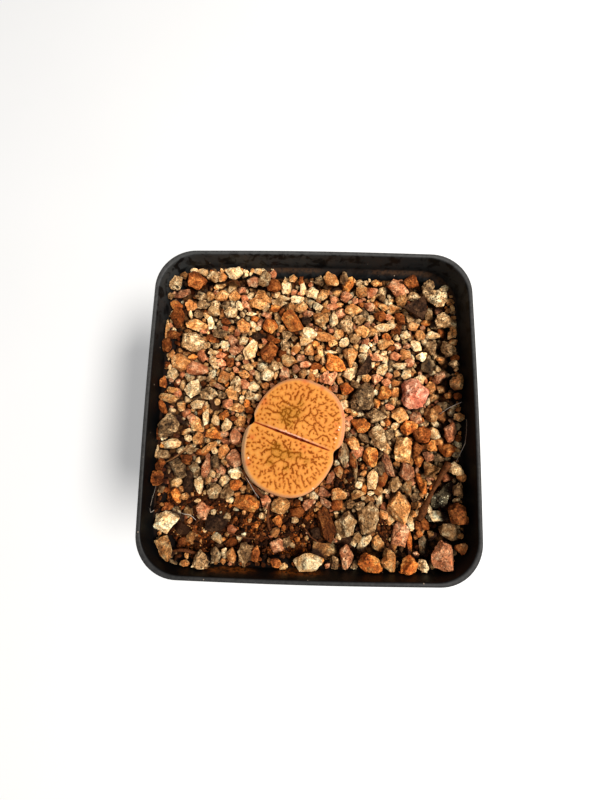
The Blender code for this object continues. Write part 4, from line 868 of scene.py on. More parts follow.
HALO_COLOURS = (srgb(182, 94, 22), srgb(150, 92, 16))   # on the islands and in the windows
HALO_SHARE = 0.45
MARGIN_AND_LIT_COLOURS = (srgb(208, 146, 102), srgb(255, 204, 152))     # on the right and on the left, the left one lighter as painted light
LIT_MARGIN_LEFT = (-13.5, -8.5)         # places across the pot, in millimetres
RED_COLOUR = srgb(206, 84, 44)
RED_SHARE = 0.5
LINE_COLOURS = (srgb(130, 58, 0), srgb(124, 66, 0))     # on the islands and in the windows
LINE_SHARE = 0.95
SEAM_COLOUR = srgb(148, 52, 20)
LIT_COLOUR = srgb(246, 182, 160)
SKIN_GLINT_COLOUR = srgb(250, 222, 190)
SKIN_CELL_RELIEF = 0.35
SKIN_BUMP = (0.035, 0.7)


def leaf_material():
    """Waxy skin: orange islands, brown marks, olive windows, pale pinkish margin and flanks, with painted
    light on the left margin and painted glints.
    """
    surface, tree, shader, place = new_material("leaf_skin", SKIN_SHEEN)
    line, window, seam = channels(tree, painted(tree, "marks"))
    margin, red, lit = channels(tree, painted(tree, "zones"))
    clouds = noise_node(tree, place, *SKIN_CLOUDS)
    fine = noise_node(tree, place, *SKIN_FINE)
    colour = mix(tree, remap(tree, clouds, SKIN_CLOUD_SPAN), *SKIN_COLOURS)
    colour = mix(tree, remap(tree, fine, SKIN_LIGHT_SPAN, SKIN_LIGHT_SHARES), colour, SKIN_LIGHT)
    olive = mix(tree, remap(tree, fine, OLIVE_SPAN), *OLIVE_COLOURS)
    colour = mix(tree, times(tree, window, OLIVE_SHARE), colour, olive)
    halo = times(tree, marked(tree, "halo"), HALO_SHARE)
    colour = mix(tree, halo, colour, mix(tree, window, *HALO_COLOURS))
    # painted light: the margin is lighter on the left
    left = remap(tree, node(tree, "ShaderNodeSeparateXYZ", {0: place}).outputs[0], LIT_MARGIN_LEFT, FALLING)
    colour = mix(tree, margin, colour, mix(tree, left, *MARGIN_AND_LIT_COLOURS))
    colour = mix(tree, times(tree, red, RED_SHARE), colour, RED_COLOUR)
    colour = mix(tree, times(tree, line, LINE_SHARE), colour, mix(tree, window, *LINE_COLOURS))
    colour = mix(tree, seam, colour, SEAM_COLOUR)
    colour = mix(tree, lit, colour, LIT_COLOUR)
    # painted highlights: pale glints on the skin
    colour = mix(tree, marked(tree, "glints"), colour, SKIN_GLINT_COLOUR)
    link(tree, shader, Base_Color=colour, Roughness=remap(tree, fine, SKIN_ROUGHNESS_SPAN, SKIN_ROUGHNESS))
    shader.inputs["Subsurface Weight"].default_value = SKIN_GLOW
    shader.inputs["Subsurface Radius"].default_value = SKIN_GLOW_REACH
    shader.inputs["Subsurface Scale"].default_value = SKIN_GLOW_DEPTH
    skin_near, _ = cells_node(tree, place, SKIN_CELLS)
    bump(tree, shader, plus(tree, times(tree, skin_near, SKIN_CELL_RELIEF), fine), *SKIN_BUMP)
    return surface


POT_SHEEN = 0.13
POT_CLOUDS = (0.16, 5.0, 0.62, 0.5)
POT_CLOUD_SPAN = (0.35, 0.7)
POT_FINE = (1.6, 4.0, 0.65)
POT_BLOTCHES = (0.45, 3.0, 0.6, 0.8)
POT_GRAIN = (7.0, 2.0, 0.5)
POT_SPECKS = 0.62                   # cells a millimetre
POT_COLOURS = (srgb(3, 3, 4), srgb(8, 9, 10))
POT_ROUGHNESS = (0.42, 0.56)
POT_ROUGHNESS_SPAN = (0.3, 0.7)
BACK_SPAN = (10.0, 28.0)            # places in millimetres, from the middle towards the back wall
SHEEN_FILM_COLOUR = srgb(50, 52, 52)      # pale film on the back wall, partly a painted sheen of light, lighter higher up and to the left
SHEEN_FILM_BLOTCHES = (0.42, 0.50)
SHEEN_FILM_SHARES = (0.05, 1.0)
SHEEN_FILM_HEIGHTS = (53.2, 55.2)
SHEEN_FILM_UP = (0.3, 1.0)
SHEEN_FILM_SIDES = (-5.0, 12.0)
SHEEN_FILM_ACROSS = (1.0, 0.6)
DUST_SPAN = (0.34, 0.56)
DUST_SHARES = (0.1, 1.0)
DUST_SHARE = 0.62
DUST_COLOURS = (srgb(60, 32, 12), srgb(78, 54, 36))     # in front and at the back
DUST_ROUGHER = 0.4
DUST_RELIEF = 1.5
SPLASH_COLOUR = srgb(158, 88, 30)
SPLASH_SPAN = (0.38, 0.54)
SPLASH_BLOTCHES = (0.38, 0.5)
SPLASH_SHARES = (0.3, 1.0)
SPLASH_SHARE = 0.85
# grey of the lip: wear, and a painted highlight
LIP_WEAR_AND_HIGHLIGHT_COLOUR = srgb(74, 73, 72)
LIP_WEAR_AND_HIGHLIGHT_SPAN = (0.3, 0.6)
LIP_WEAR_AND_HIGHLIGHT_SHARES = (0.4, 0.8)
LIP_WEAR_AND_HIGHLIGHT_ACROSS = (-20.0, 20.0)         # less wear and painted highlight in front
LIP_WEAR_AND_HIGHLIGHT_FRONT = (0.6, 1.0)
# pale specks of grit, partly painted glints
SPECKS_CHOSEN = 0.30
POT_SPECK_SPAN = (0.05, 0.09)
POT_SPECK_AND_GLINT_COLOUR = srgb(150, 134, 116)
POT_SPECK_RELIEF = 2.0
POT_BUMP = (0.03, 0.6)


def pot_material():
    """Black satin plastic: moulded grain, dusty ledge and walls, a painted sheen on the back wall, a grey
    lip with wear and a painted highlight, and pale specks that are partly painted glints.
    """
    surface, tree, shader, place = new_material("black_plastic", POT_SHEEN)
    x, y, z = node(tree, "ShaderNodeSeparateXYZ", {0: place}).outputs
    inner, lip = marked(tree, "inner"), marked(tree, "lip")
    clouds = noise_node(tree, place, *POT_CLOUDS)
    fine = noise_node(tree, place, *POT_FINE)
    blotches = noise_node(tree, place, *POT_BLOTCHES)
    back = remap(tree, y, BACK_SPAN)
    colour = mix(tree, remap(tree, clouds, POT_CLOUD_SPAN), *POT_COLOURS)
    # painted sheen of light, with a pale film, on the back wall
    sheen_film = times(tree, inner, back, remap(tree, blotches, SHEEN_FILM_BLOTCHES, SHEEN_FILM_SHARES),
                 remap(tree, z, SHEEN_FILM_HEIGHTS, SHEEN_FILM_UP), remap(tree, x, SHEEN_FILM_SIDES, SHEEN_FILM_ACROSS))
    colour = mix(tree, sheen_film, colour, SHEEN_FILM_COLOUR)
    dust = times(tree, marked(tree, "ledge"), remap(tree, fine, DUST_SPAN, DUST_SHARES))
    colour = mix(tree, times(tree, dust, DUST_SHARE), colour, mix(tree, back, *DUST_COLOURS))
    splash = times(tree, marked(tree, "splash"), remap(tree, fine, SPLASH_SPAN),
                   remap(tree, blotches, SPLASH_BLOTCHES, SPLASH_SHARES), SPLASH_SHARE)
    colour = mix(tree, splash, colour, SPLASH_COLOUR)
    # the lip's grey: wear, and a painted highlight
    wear_and_highlight = times(tree, lip, remap(tree, fine, LIP_WEAR_AND_HIGHLIGHT_SPAN, LIP_WEAR_AND_HIGHLIGHT_SHARES),
                 remap(tree, y, LIP_WEAR_AND_HIGHLIGHT_ACROSS, LIP_WEAR_AND_HIGHLIGHT_FRONT))
    colour = mix(tree, wear_and_highlight, colour, LIP_WEAR_AND_HIGHLIGHT_COLOUR)
    # pale specks of grit on the inside and lip, partly painted glints
    near, cell_colour = cells_node(tree, place, POT_SPECKS)
    chosen = math_node(tree, "LESS_THAN", channels(tree, cell_colour)[0], SPECKS_CHOSEN)
    speck = times(tree, chosen, remap(tree, near, POT_SPECK_SPAN, FALLING))
    shown = times(tree, speck, math_node(tree, "MAXIMUM", inner, lip))
    colour = mix(tree, shown, colour, POT_SPECK_AND_GLINT_COLOUR)
    rough = remap(tree, clouds, POT_ROUGHNESS_SPAN, POT_ROUGHNESS)
    rough = plus(tree, rough, times(tree, dust, DUST_ROUGHER),
                 times(tree, marked(tree, "sill"), DUST_ROUGHER))
    link(tree, shader, Base_Color=colour, Roughness=rough)
    relief = plus(tree, noise_node(tree, place, *POT_GRAIN), times(tree, speck, POT_SPECK_RELIEF),
                  times(tree, dust, DUST_RELIEF))
    bump(tree, shader, relief, *POT_BUMP)
    return surface


EARTH_SHEEN = 0.08
EARTH_ROUGHNESS = 0.88
EARTH_CLOUDS = (0.5, 6.0, 0.7)
EARTH_CELLS = 2.4
PEAT_COLOURS = (srgb(8, 3, 1), srgb(40, 17, 6))
PEAT_SPAN = (0.35, 0.7)
RICH_COLOUR = srgb(112, 54, 20)
RICH_SPAN = (0.4, 1.0)
RICH_SHARES = (0.0, 0.85)
SPARK_COLOUR = srgb(220, 158, 92)   # of pale crumbs
SPARKS_CHOSEN = 0.2
SPARK_SPAN = (0.2, 0.45)
CRUMB_COLOUR = srgb(170, 88, 30)
CRUMB_DRAWN = (0.2, 0.6)
CRUMB_SPAN = (0.35, 0.6)
CRUMB_SHARES = (1.0, 0.2)
# grit's colours, darkened as painted shade under the stones
SHADED_GRIT_COLOURS = (srgb(62, 28, 10), srgb(140, 92, 50))
GRIT_TONES = (0.0, 0.7)
SHADED_GRIT_RED = srgb(104, 44, 14)
GRIT_RED_TONES = (0.8, 0.82)
GRIT_EDGE = (0.4, 0.9)
GRIT_EDGE_SHARES = (0.0, 0.95)
GRIT_SPAN = (0.4, 0.6)
GRIT_SHARES = (0.25, 0.7)
EARTH_CELL_RELIEF = 0.9
EARTH_BUMP = (0.5, 0.9)


def earth_material(name):
    """Loose dark peat with brown and orange crumbs, and grains of grit, darkened as painted shade, where it
    isn't bare.
    """
    surface, tree, shader, place = new_material(name, EARTH_SHEEN)
    clouds = noise_node(tree, place, *EARTH_CLOUDS)
    cells, cell_colour = cells_node(tree, place, EARTH_CELLS)
    drawn = channels(tree, cell_colour)
    dark = mix(tree, remap(tree, clouds, PEAT_SPAN), *PEAT_COLOURS)
    rich = mix(tree, remap(tree, drawn[0], RICH_SPAN, RICH_SHARES), dark, RICH_COLOUR)
    chosen = math_node(tree, "LESS_THAN", drawn[1], SPARKS_CHOSEN)
    spark = times(tree, chosen, remap(tree, cells, SPARK_SPAN, FALLING))
    rich = mix(tree, spark, rich, SPARK_COLOUR)
    crumb = times(tree, marked(tree, "crumbs"), remap(tree, drawn[2], CRUMB_DRAWN),
                  remap(tree, cells, CRUMB_SPAN, CRUMB_SHARES))
    rich = mix(tree, crumb, rich, CRUMB_COLOUR)
    tone = marked(tree, "tone")
    grain = mix(tree, remap(tree, tone, GRIT_TONES), *SHADED_GRIT_COLOURS)
    grain = mix(tree, remap(tree, tone, GRIT_RED_TONES), grain, SHADED_GRIT_RED)
    grain = mix(tree, remap(tree, marked(tree, "near"), GRIT_EDGE, GRIT_EDGE_SHARES), grain, dark)
    colour = mix(tree, remap(tree, clouds, GRIT_SPAN, GRIT_SHARES), dark, grain)
    link(tree, shader, Base_Color=mix(tree, marked(tree, "peat"), colour, rich))
    shader.inputs["Roughness"].default_value = EARTH_ROUGHNESS
    relief = math_node(tree, "SUBTRACT", clouds, times(tree, cells, EARTH_CELL_RELIEF))
    bump(tree, shader, relief, *EARTH_BUMP)
    return surface


# Display colours, dark and light, streaks a millimetre, and roughness of each fibrous material
FIBRES = {
    "twig_bark": ((24, 10, 3), (116, 66, 32), 2.0, 0.8),
    "dry_straw": ((88, 54, 28), (156, 110, 68), 2.0, 0.6),
    "brown_root": ((40, 18, 7), (112, 62, 30), 2.2, 0.7),
    "pale_hair": ((190, 170, 150), (240, 230, 216), 1.0, 0.4),
}
FIBRE_SHEEN = 0.1
STREAKS = (5.0, 0.7, 1.2)           # detail, roughness and distortion
STREAK_SPAN = (0.32, 0.68)
FIBRE_SPAN = (0.3, 0.7)
FIBRE_SPREAD = 0.1                  # of the roughness to both sides
FIBRE_BUMP = (0.12, 0.8)


def fibre_material(name):
    """Fibrous plant matter with irregular streaks."""
    dark, light, scale, roughness = FIBRES[name]
    surface, tree, shader, place = new_material(name, FIBRE_SHEEN)
    streaks = noise_node(tree, place, scale, *STREAKS)
    colour = mix(tree, remap(tree, streaks, STREAK_SPAN), srgb(*dark), srgb(*light))
    spread = (roughness + FIBRE_SPREAD, roughness - FIBRE_SPREAD)
    link(tree, shader, Base_Color=colour, Roughness=remap(tree, streaks, FIBRE_SPAN, spread))
    bump(tree, shader, streaks, *FIBRE_BUMP)
    return surface


FLOOR_SHEEN = 0.1
FLOOR_ROUGHNESS = 0.9
FLOOR_GRAIN = 0.02
FLOOR_COLOURS = ((0.75, 0.75, 0.75), (0.78, 0.78, 0.78))
WHITE = (1, 1, 1, 1)


def floor_material():
    """Plain pale floor with a barely seen grain and a faint glow of its own, painted light."""
    surface, tree, shader, place = new_material("pale_floor", FLOOR_SHEEN)
    link(tree, shader, Base_Color=mix(tree, noise_node(tree, place, FLOOR_GRAIN), *FLOOR_COLOURS))
    shader.inputs["Roughness"].default_value = FLOOR_ROUGHNESS
    shader.inputs["Emission Color"].default_value = WHITE
    shader.inputs["Emission Strength"].default_value = FLOOR_GLOW
    return surface


# Meshes

def add_object(name, data):
    """Put an object into the scene."""
    item = bpy.data.objects.new(name, data)
    bpy.context.scene.collection.objects.link(item)
    return item


def piece(name, points, faces, surface, replaced):
    """Make a mesh piece that rides on the body and the node it stands for."""
    mesh = bpy.data.meshes.new(name)
    mesh.from_pydata([tuple(point) for point in points], [], [tuple(face) for face in faces])
    mesh.materials.append(surface)
    mesh.shade_smooth()
    item = add_object(name, mesh)
    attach(item, "root")
    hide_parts(replaced)
    return item


def paint(item, name, values):
    """Store three values from 0 to 1 for each point of a mesh."""
    colours = np.ones((len(values), 4), np.float32)
    colours[:, :3] = values
    layer = item.data.color_attributes.new(name, "FLOAT_COLOR", "POINT")
    layer.data.foreach_set("color", colours.ravel())


def mark_points(item, name, values):
    """Store one value from 0 to 1 for each point of a mesh, and 0 for the points after the last value."""
    layer = item.data.attributes.new(name, "FLOAT", "POINT")
    padded = np.zeros(len(item.data.vertices), np.float32)
    padded[:len(values)] = values
    layer.data.foreach_set("value", padded)


def ring_faces(rings, count):
    """Faces between rings of equally many points, all the way round."""
    faces = []
    for ring in range(rings - 1):
        for index in range(count):
            after = (index + 1) % count
            low = ring * count
            high = low + count
            faces.append((low + index, low + after, high + after, high + index))
    return faces


def capped_faces(rings, count):
    """The same, with a face over the first and the last ring."""
    total = rings * count
    return ring_faces(rings, count) + [tuple(reversed(range(count))), tuple(range(total - count, total))]


def points_tree(places):
    """Tree that finds the nearest of some places on the ground plan."""
    tree = kdtree.KDTree(len(places))
    for index, place in enumerate(places):
        tree.insert((place[0], place[1], 0), index)
    tree.balance()
    return tree


def nearest(tree, places):
    """Distance to the nearest point of a tree, and its number, for some places on the ground plan."""
    found = [tree.find((x, y, 0)) for x, y in places]
    return np.array([hit[2] for hit in found]), [hit[1] for hit in found]


# The pot

def square_ring(half, z):
    """Points of a rounded square with bowed sides, all the way round at one height."""
    radius = CORNER_RADIUS * half / RIM_HALF
    flat = half - radius
    points = []
    for quarter in range(4):
        turn = Matrix.Rotation(quarter * math.pi / 2, 2)
        for step in range(CORNER_STEPS + 1):
            angle = math.pi / 2 * step / CORNER_STEPS
            corner = Vector((flat + radius * math.cos(angle), flat + radius * math.sin(angle)))
            points.append(turn @ corner)
        for step in range(1, SIDE_STEPS):
            across = flat - 2 * flat * step / SIDE_STEPS
            bow = SIDE_BOW * math.cos(math.pi / 2 * across / flat)
            points.append(turn @ Vector((across, half + bow)))
    return [Vector((point.x, point.y, z)) for point in points]


def rounded_profile(profile):
    """Points of a profile of (half width, height, rounding), with arcs at its corners."""
    points = []
    for index, (half, z, rounding) in enumerate(profile):
        corner = Vector((half, z))
        if not rounding:
            points.append(corner)
            continue
        before = Vector(profile[index - 1][:2]) - corner
        after = Vector(profile[index + 1][:2]) - corner
        start = corner + before.normalized() * min(rounding, before.length * ROUND_SHARE)
        end = corner + after.normalized() * min(rounding, after.length * ROUND_SHARE)
        for step in range(ROUND_STEPS + 1):
            part = step / ROUND_STEPS
            points.append(start * (1 - part) ** 2 + corner * 2 * part * (1 - part) + end * part ** 2)
    return points


def pot_profile():
    """The pot's section from the middle of its foot, up the outside and down the inside."""
    wall = [(RIM_HALF - WALL + (COLLAR_FOOT_HALF - RIM_HALF) * ring / WALL_RINGS,
             POT_HEIGHT + (LEDGE_TOP_Z - POT_HEIGHT) * ring / WALL_RINGS, 0)
            for ring in range(1, WALL_RINGS)]
    return (
        (RECESS_HALF - RECESS_DEPTH, RECESS_DEPTH, 0),
        (RECESS_HALF, 0, EDGE_ROUND),
        (BODY_FOOT_HALF - FOOT_CHAMFER, 0, EDGE_ROUND),
        (BODY_FOOT_HALF, FOOT_CHAMFER, EDGE_ROUND),
        (BODY_TOP_HALF, STEP_FOOT_Z, EDGE_ROUND),
        (COLLAR_FOOT_HALF, STEP_TOP_Z, EDGE_ROUND),
        ((COLLAR_FOOT_HALF + RIM_HALF) / 2, (STEP_TOP_Z + POT_HEIGHT) / 2, 0),
        (RIM_HALF, POT_HEIGHT, LIP_ROUND),
        (RIM_HALF - WALL, POT_HEIGHT, LIP_ROUND),
        *wall,
        (COLLAR_FOOT_HALF - WALL, STEP_TOP_Z + WALL, EDGE_ROUND),
        (BODY_TOP_HALF - WALL, STEP_FOOT_Z + WALL, EDGE_ROUND),
        (BODY_FOOT_HALF - WALL, FOOT_CHAMFER + WALL, EDGE_ROUND),
        (RECESS_HALF + WALL, WALL, 0),
        (RECESS_HALF + WALL - RECESS_DEPTH, RECESS_DEPTH + WALL, 0),
    )


def make_pot():
    """The pot: rounded lip, collar, step, tapered body, recessed foot and drain holes."""
    rings = [square_ring(point.x, point.y) for point in rounded_profile(pot_profile())]
    points = [point for ring in rings for point in ring]
    faces = capped_faces(len(rings), len(rings[0]))
    pot = piece("pot_shell", points, faces, pot_material(), "pot")
    places = [(0, 0)] + [(x, y) for x in (-DRAIN_REACH, DRAIN_REACH) for y in (-DRAIN_REACH, DRAIN_REACH)]
    for x, y in places:
        drill = bmesh.new()
        bmesh.ops.create_cone(drill, cap_ends=True, segments=DRAIN_SIDES, radius1=DRAIN_RADIUS,
                              radius2=DRAIN_RADIUS, depth=DRILL_DEPTH,
                              matrix=Matrix.Translation((x, y, RECESS_DEPTH)))
        cut_with(pot, drill)
    mark_pot(pot)
    pot.data.set_sharp_from_angle(angle=POT_CREASE)


def mark_pot(pot):
    """Store where the pot's inside, its ledge with dust, its splashes and its lip, with wear and a painted
    highlight, are.
    """
    points = np.array([vert.co for vert in pot.data.vertices])
    height = points[:, 2]
    reach = square_reach(points)
    wall_middle = np.interp(height, (FOOT_CHAMFER, STEP_FOOT_Z, STEP_TOP_Z, POT_HEIGHT),
                            (BODY_FOOT_HALF, BODY_TOP_HALF, COLLAR_FOOT_HALF, RIM_HALF)) - WALL / 2
    inside = ((reach < wall_middle) & (height > FOOT_CHAMFER + 2 * WALL)).astype(float)
    low = smooth_step(LEDGE_TOP_Z + DUST_HEIGHTS[0], LEDGE_TOP_Z + DUST_HEIGHTS[1], height)
    corner = smooth_step(LEDGE_INNER + DUST_INSET[0], COLLAR_INNER - DUST_INSET[1], reach)
    corner = np.where(points[:, 1] > LEDGE_BARE_Y, corner, 1)
    dust = DUST_LEAST + (1 - DUST_LEAST) * patch_share(points, DUST_PATCHES)
    wet = smooth_step(POT_HEIGHT - SPLASH_TOP, LEDGE_TOP_Z + SPLASH_FULL, height)
    wear_and_highlight_from, wear_and_highlight_full = [POT_HEIGHT - part * LIP_ROUND for part in LIP_WEAR_AND_HIGHLIGHT]
    mark_points(pot, "inner", inside)
    mark_points(pot, "sill", inside * low)
    mark_points(pot, "ledge", inside * low * corner * dust)
    mark_points(pot, "splash", inside * wet * patch_share(points, SPLASH_PATCHES))
    mark_points(pot, "lip", smooth_step(wear_and_highlight_from, wear_and_highlight_full, height))


def square_reach(points):
    """Half width of the rounded square ring through each point."""
    across = np.abs(points[:, 0])
    deep = np.abs(points[:, 1])
    share = CORNER_RADIUS / RIM_HALF
    long_side = np.maximum(across, deep)
    short_side = np.minimum(across, deep)
    half = long_side.copy()
    for attempt in range(RING_ROUNDS):
        flat = half * (1 - share)
        corner = (short_side > flat) & (long_side > flat)
        reach = flat + np.hypot(np.maximum(long_side - flat, 0), np.maximum(short_side - flat, 0))
        half = np.where(corner, (half + reach) / 2, half)
    bow = SIDE_BOW * np.cos(math.pi / 2 * np.clip(short_side / (half * (1 - share)), 0, 1))
    return np.where(short_side < half * (1 - share), long_side - bow, half)


def cut_with(item, tool_data):
    """Cut an object with a closed shape."""
    mesh = bpy.data.meshes.new("tool")
    tool_data.to_mesh(mesh)
    tool_data.free()
    tool = add_object("tool", mesh)
    step = item.modifiers.new("cut", "BOOLEAN")
    step.operation = "DIFFERENCE"
    step.solver = "EXACT"
    step.object = tool
    graph = bpy.context.evaluated_depsgraph_get()
    graph.update()
    cut = bpy.data.meshes.new_from_object(item.evaluated_get(graph))
    item.modifiers.clear()
    item.data = cut
    bpy.data.objects.remove(tool, do_unlink=True)


# The plant, on a plan of u along its fissure and v across it

def on_plan(u, v):
    """Places in the frame of some points of the plant's plan."""
    middle, along, across = plant_axes()
    return np.array(middle) + np.outer(u, along) + np.outer(v, across)


def outline_part(u, v):
    """How far out a point of the plan is: 0 in the middle, 1 on the outline."""
    across = np.abs(u) / PLANT_HALF_LENGTH
    away = np.abs(v) / LOBE_HALF
    return (across ** OUTLINE_POWER + away ** OUTLINE_POWER) ** (1 / OUTLINE_POWER)


def outline_ring(angles, size, notch):
    """Points of the plant's outline in some directions, scaled, with a share of its notches."""
    u, v = np.cos(angles), np.sin(angles)
    reach = size / outline_part(u, v)
    u, v = u * reach, v * reach
    pinch = notch * NOTCH_DEPTH * np.exp(-(v / NOTCH_HALF) ** 2)
    shift = notch * LOBE_SHIFT * np.tanh(v / NOTCH_HALF)
    return u - np.copysign(pinch, u) + shift, v


def edge_distance(u, v):
    """Rough distance of plan points from the plant's outline."""
    part = outline_part(u, v)
    return (1 - part) * np.hypot(u, v) / np.maximum(part, LEAST_PART)


def fissure_opening(u):
    """How wide the fissure is open along its length: 1 in the middle, 0 past its right end."""
    part = 1 - FISSURE_CLOSING * np.clip(np.abs(u) / PLANT_HALF_LENGTH, 0, 1) ** FISSURE_POWER
    part *= 1 + FISSURE_STRAY * noise(np.stack((u, u, u), axis=1) / FISSURE_WAVE)
    return part * smooth_step(FISSURE_END[1], FISSURE_END[0], u)


def face_depth(u, v):
    """Depth of the plant's face under its top, without the marks."""
    part = np.minimum(outline_part(u, v), 1.0)
    turn = np.clip((part - SHOULDER_START) / (1 - SHOULDER_START), 0, 1)
    depth = CROWN * part ** 2 + SHOULDER_DROP * (1 - np.sqrt(1 - turn ** 2))
    open_part = fissure_opening(u)
    off = np.abs(v) - FISSURE_HALF * open_part
    cleft = FISSURE_DEPTH * open_part * smooth_step(*FISSURE_WALL, off)
    lip = FISSURE_DIP * np.exp(-np.maximum(off, 0) / FISSURE_LIP)
    return depth + cleft + lip


def plan_spots(picture_points):
    """Places on the plant's plan that the reference picture shows at some points of its face."""
    middle, along, across = plant_axes()
    offs = [below_picture(*spot, FACE_LEVEL_Z).xy - middle for spot in picture_points]
    return np.array([(off.dot(along), off.dot(across)) for off in offs])


def spread_round(u, v, rows):
    """How near plan points are to some picture points with a reach in millimetres, from 0 to 1."""
    total = np.zeros(len(u))
    for spot, row in zip(plan_spots([row[:2] for row in rows]), rows):
        away = np.hypot(u - spot[0], v - spot[1])
        total += np.exp(-(away / (row[2] * MM)) ** 2)
    return np.minimum(total, 1)


def wavy(start, end):
    """Points along a line that strays a little from the straight way."""
    steps = max(2, round(np.hypot(*(end - start)) / LINE_STEP))
    part = np.linspace(0, 1, steps + 1)[:, None]
    line = start + (end - start) * part
    flat = np.column_stack((line, np.zeros(len(line)))) / LINE_WAVE
    return line + np.column_stack([noise(flat + shift) for shift in LINE_SHIFTS]) * LINE_WOBBLE


def small_marks(draw, spots):
    """Short marks and dots in the room between the others, drawn out from the windows."""
    made = []
    hubs = plan_spots(SMALL_HUBS)
    for attempt in range(SMALL_TRIES):
        spot = np.array((draw.uniform(-1, 1) * PLANT_HALF_LENGTH, draw.uniform(-1, 1) * LOBE_HALF))
        length = draw.uniform(*SMALL_LENGTH)
        turn = draw.gauss(0, SMALL_TURN)
        if edge_distance(*spot) < MARGIN_WIDE + length / 2 or abs(spot[1]) < FISSURE_MARGIN + length / 2:
            continue
        if draw.random() < SMALL_SKIPPED * spread_round(spot[:1], spot[1:], NEAR_WINDOWS)[0]:
            continue
        hub = hubs[0] if spot[1] > 0 else hubs[1]
        way = (spot - hub) / np.hypot(*(spot - hub))
        way = np.array((way[0] * math.cos(turn) - way[1] * math.sin(turn),
                        way[0] * math.sin(turn) + way[1] * math.cos(turn)))
        line = wavy(spot - way * length / 2, spot + way * length / 2)
        room = np.hypot(line[:, None, 0] - spots[None, :, 0], line[:, None, 1] - spots[None, :, 1]).min()
        if room < SMALL_ROOM:
            continue
        if draw.random() < SMALL_FORKS:
            side = np.array((-way[1], way[0])) * draw.choice((-1, 1)) + way * FORK_LEAN
            start = line[len(line) // 2]
            line = np.vstack((line, wavy(start, start + side * length * FORK_LENGTH)))
        half = np.full((len(line), 1), MARK_HALF * draw.uniform(*SMALL_HALF))
        added = np.hstack((line, half))
        spots = np.vstack((spots, added))
        made += [tuple(row) for row in added]
    return made


def plant_marks():
    """Points along all the marks on the plan, each with the half width of the mark there."""
    draw = random.Random(MARK_SEED)
    spots = []
    for row in MARKS:
        corners = plan_spots(zip(row[::2], row[1::2]))
        line = np.concatenate([wavy(start, end) for start, end in itertools.pairwise(corners)])
        near = spread_round(line[:, 0], line[:, 1], NEAR_WINDOWS)
        half = MARK_HALF + (MARK_HALF_WINDOW - MARK_HALF) * near ** 2
        half *= draw.uniform(1 - MARK_SPREAD, 1 + MARK_SPREAD)
        taper = np.sin(np.linspace(*TAPER, len(line)) * math.pi)
        spots += [tuple(spot) for spot in np.column_stack((line, half * taper ** TAPER_POWER))]
        for index in range(draw.randrange(1, STUB_EVERY), len(line) - 1, STUB_EVERY):
            way = line[index + 1] - line[index - 1]
            way = way / np.hypot(*way)
            side = np.array((-way[1], way[0])) * draw.choice((-1, 1))
            side = side + way * draw.uniform(-STUB_LEAN, STUB_LEAN)
            stub = wavy(line[index], line[index] + side * draw.uniform(*STUB_LENGTH))
            spots += [(*place, half[index] * STUB_HALF) for place in stub]
    for place in plan_spots(DOTS):
        spots.append((*place, DOT_HALF * draw.uniform(1 - MARK_SPREAD, 1 + MARK_SPREAD)))
    return np.array(spots + small_marks(draw, np.array(spots)))


def make_lithops():
    """The plant: two faces with marks, relief and a fissure, then flanks and a taproot."""
    angles = np.linspace(0, 2 * math.pi, FACE_ANGLES, endpoint=False)
    plan = [(np.zeros(1), np.zeros(1))]
    for ring in range(1, FACE_RINGS + 1):
        size = ring / FACE_RINGS
        plan.append(outline_ring(angles, size, smooth_step(NOTCH_START, 1.0, size)))
    u = np.concatenate([ring[0] for ring in plan])
    v = np.concatenate([ring[1] for ring in plan])
    cells = np.stack((u, v, np.zeros_like(u)), axis=1)
    spots = plant_marks()
    distance, found = nearest(points_tree(spots), zip(u, v))
    distance = np.maximum(0, distance + MARK_ROUGH * noise_of(cells, *MARK_NOISE))
    half = spots[found, 2]
    mark = smooth_step(half + MARK_SOFT, half - MARK_SOFT, distance)
    # painted highlights: pale glints on the skin, slightly raised
    glints = spread_round(u, v, SKIN_GLINTS) * (1 + SKIN_GLINT_STRAY * noise_of(cells, *SKIN_GLINT_NOISE))
    glints = smooth_step(*SKIN_GLINT_SPAN, glints)
    inner = smooth_step(MARGIN_FLAT, MARGIN, edge_distance(u, v))
    depth = face_depth(u, v) + MARK_DEPTH * mark * inner
    depth -= ISLAND_RISE * (1 - np.exp(-distance / ISLAND_WIDTH)) * inner + SKIN_GLINT_RISE * glints
    depth += sum(wave * noise_of(cells, size, shift) for wave, size, shift in SKIN_WAVES)
    rings = [np.column_stack((on_plan(u, v), PLANT_TOP_Z - depth))]
    flank_depth = np.linspace(math.sqrt(FLANK[0][0]), math.sqrt(FLANK[-1][0]), FLANK_STEPS)[1:] ** 2
    for low, size in zip(flank_depth, np.interp(flank_depth, *zip(*FLANK))):
        ring = on_plan(*outline_ring(angles, size, max(0.0, 1 - low / NOTCH_FOOT)))
        rings.append(np.column_stack((ring, np.full(FACE_ANGLES, PLANT_TOP_Z - low))))
    points = np.concatenate(rings)
    faces = [(0, 1 + index, 1 + (index + 1) % FACE_ANGLES) for index in range(FACE_ANGLES)]
    sides = ring_faces(FACE_RINGS + FLANK_STEPS - 1, FACE_ANGLES)
    faces += [tuple(corner + 1 for corner in reversed(face)) for face in sides]
    faces.append(tuple(range(len(points) - FACE_ANGLES, len(points))))
    plant = piece("lithops_leaves", points, faces, leaf_material(), "lithops")
    mark_points(plant, "glints", glints)
    mark_points(plant, "halo", np.exp(-(np.maximum(0, distance - half) / HALO_WIDTH) ** 2) * inner)
    paint_plant(plant, u, v, mark)


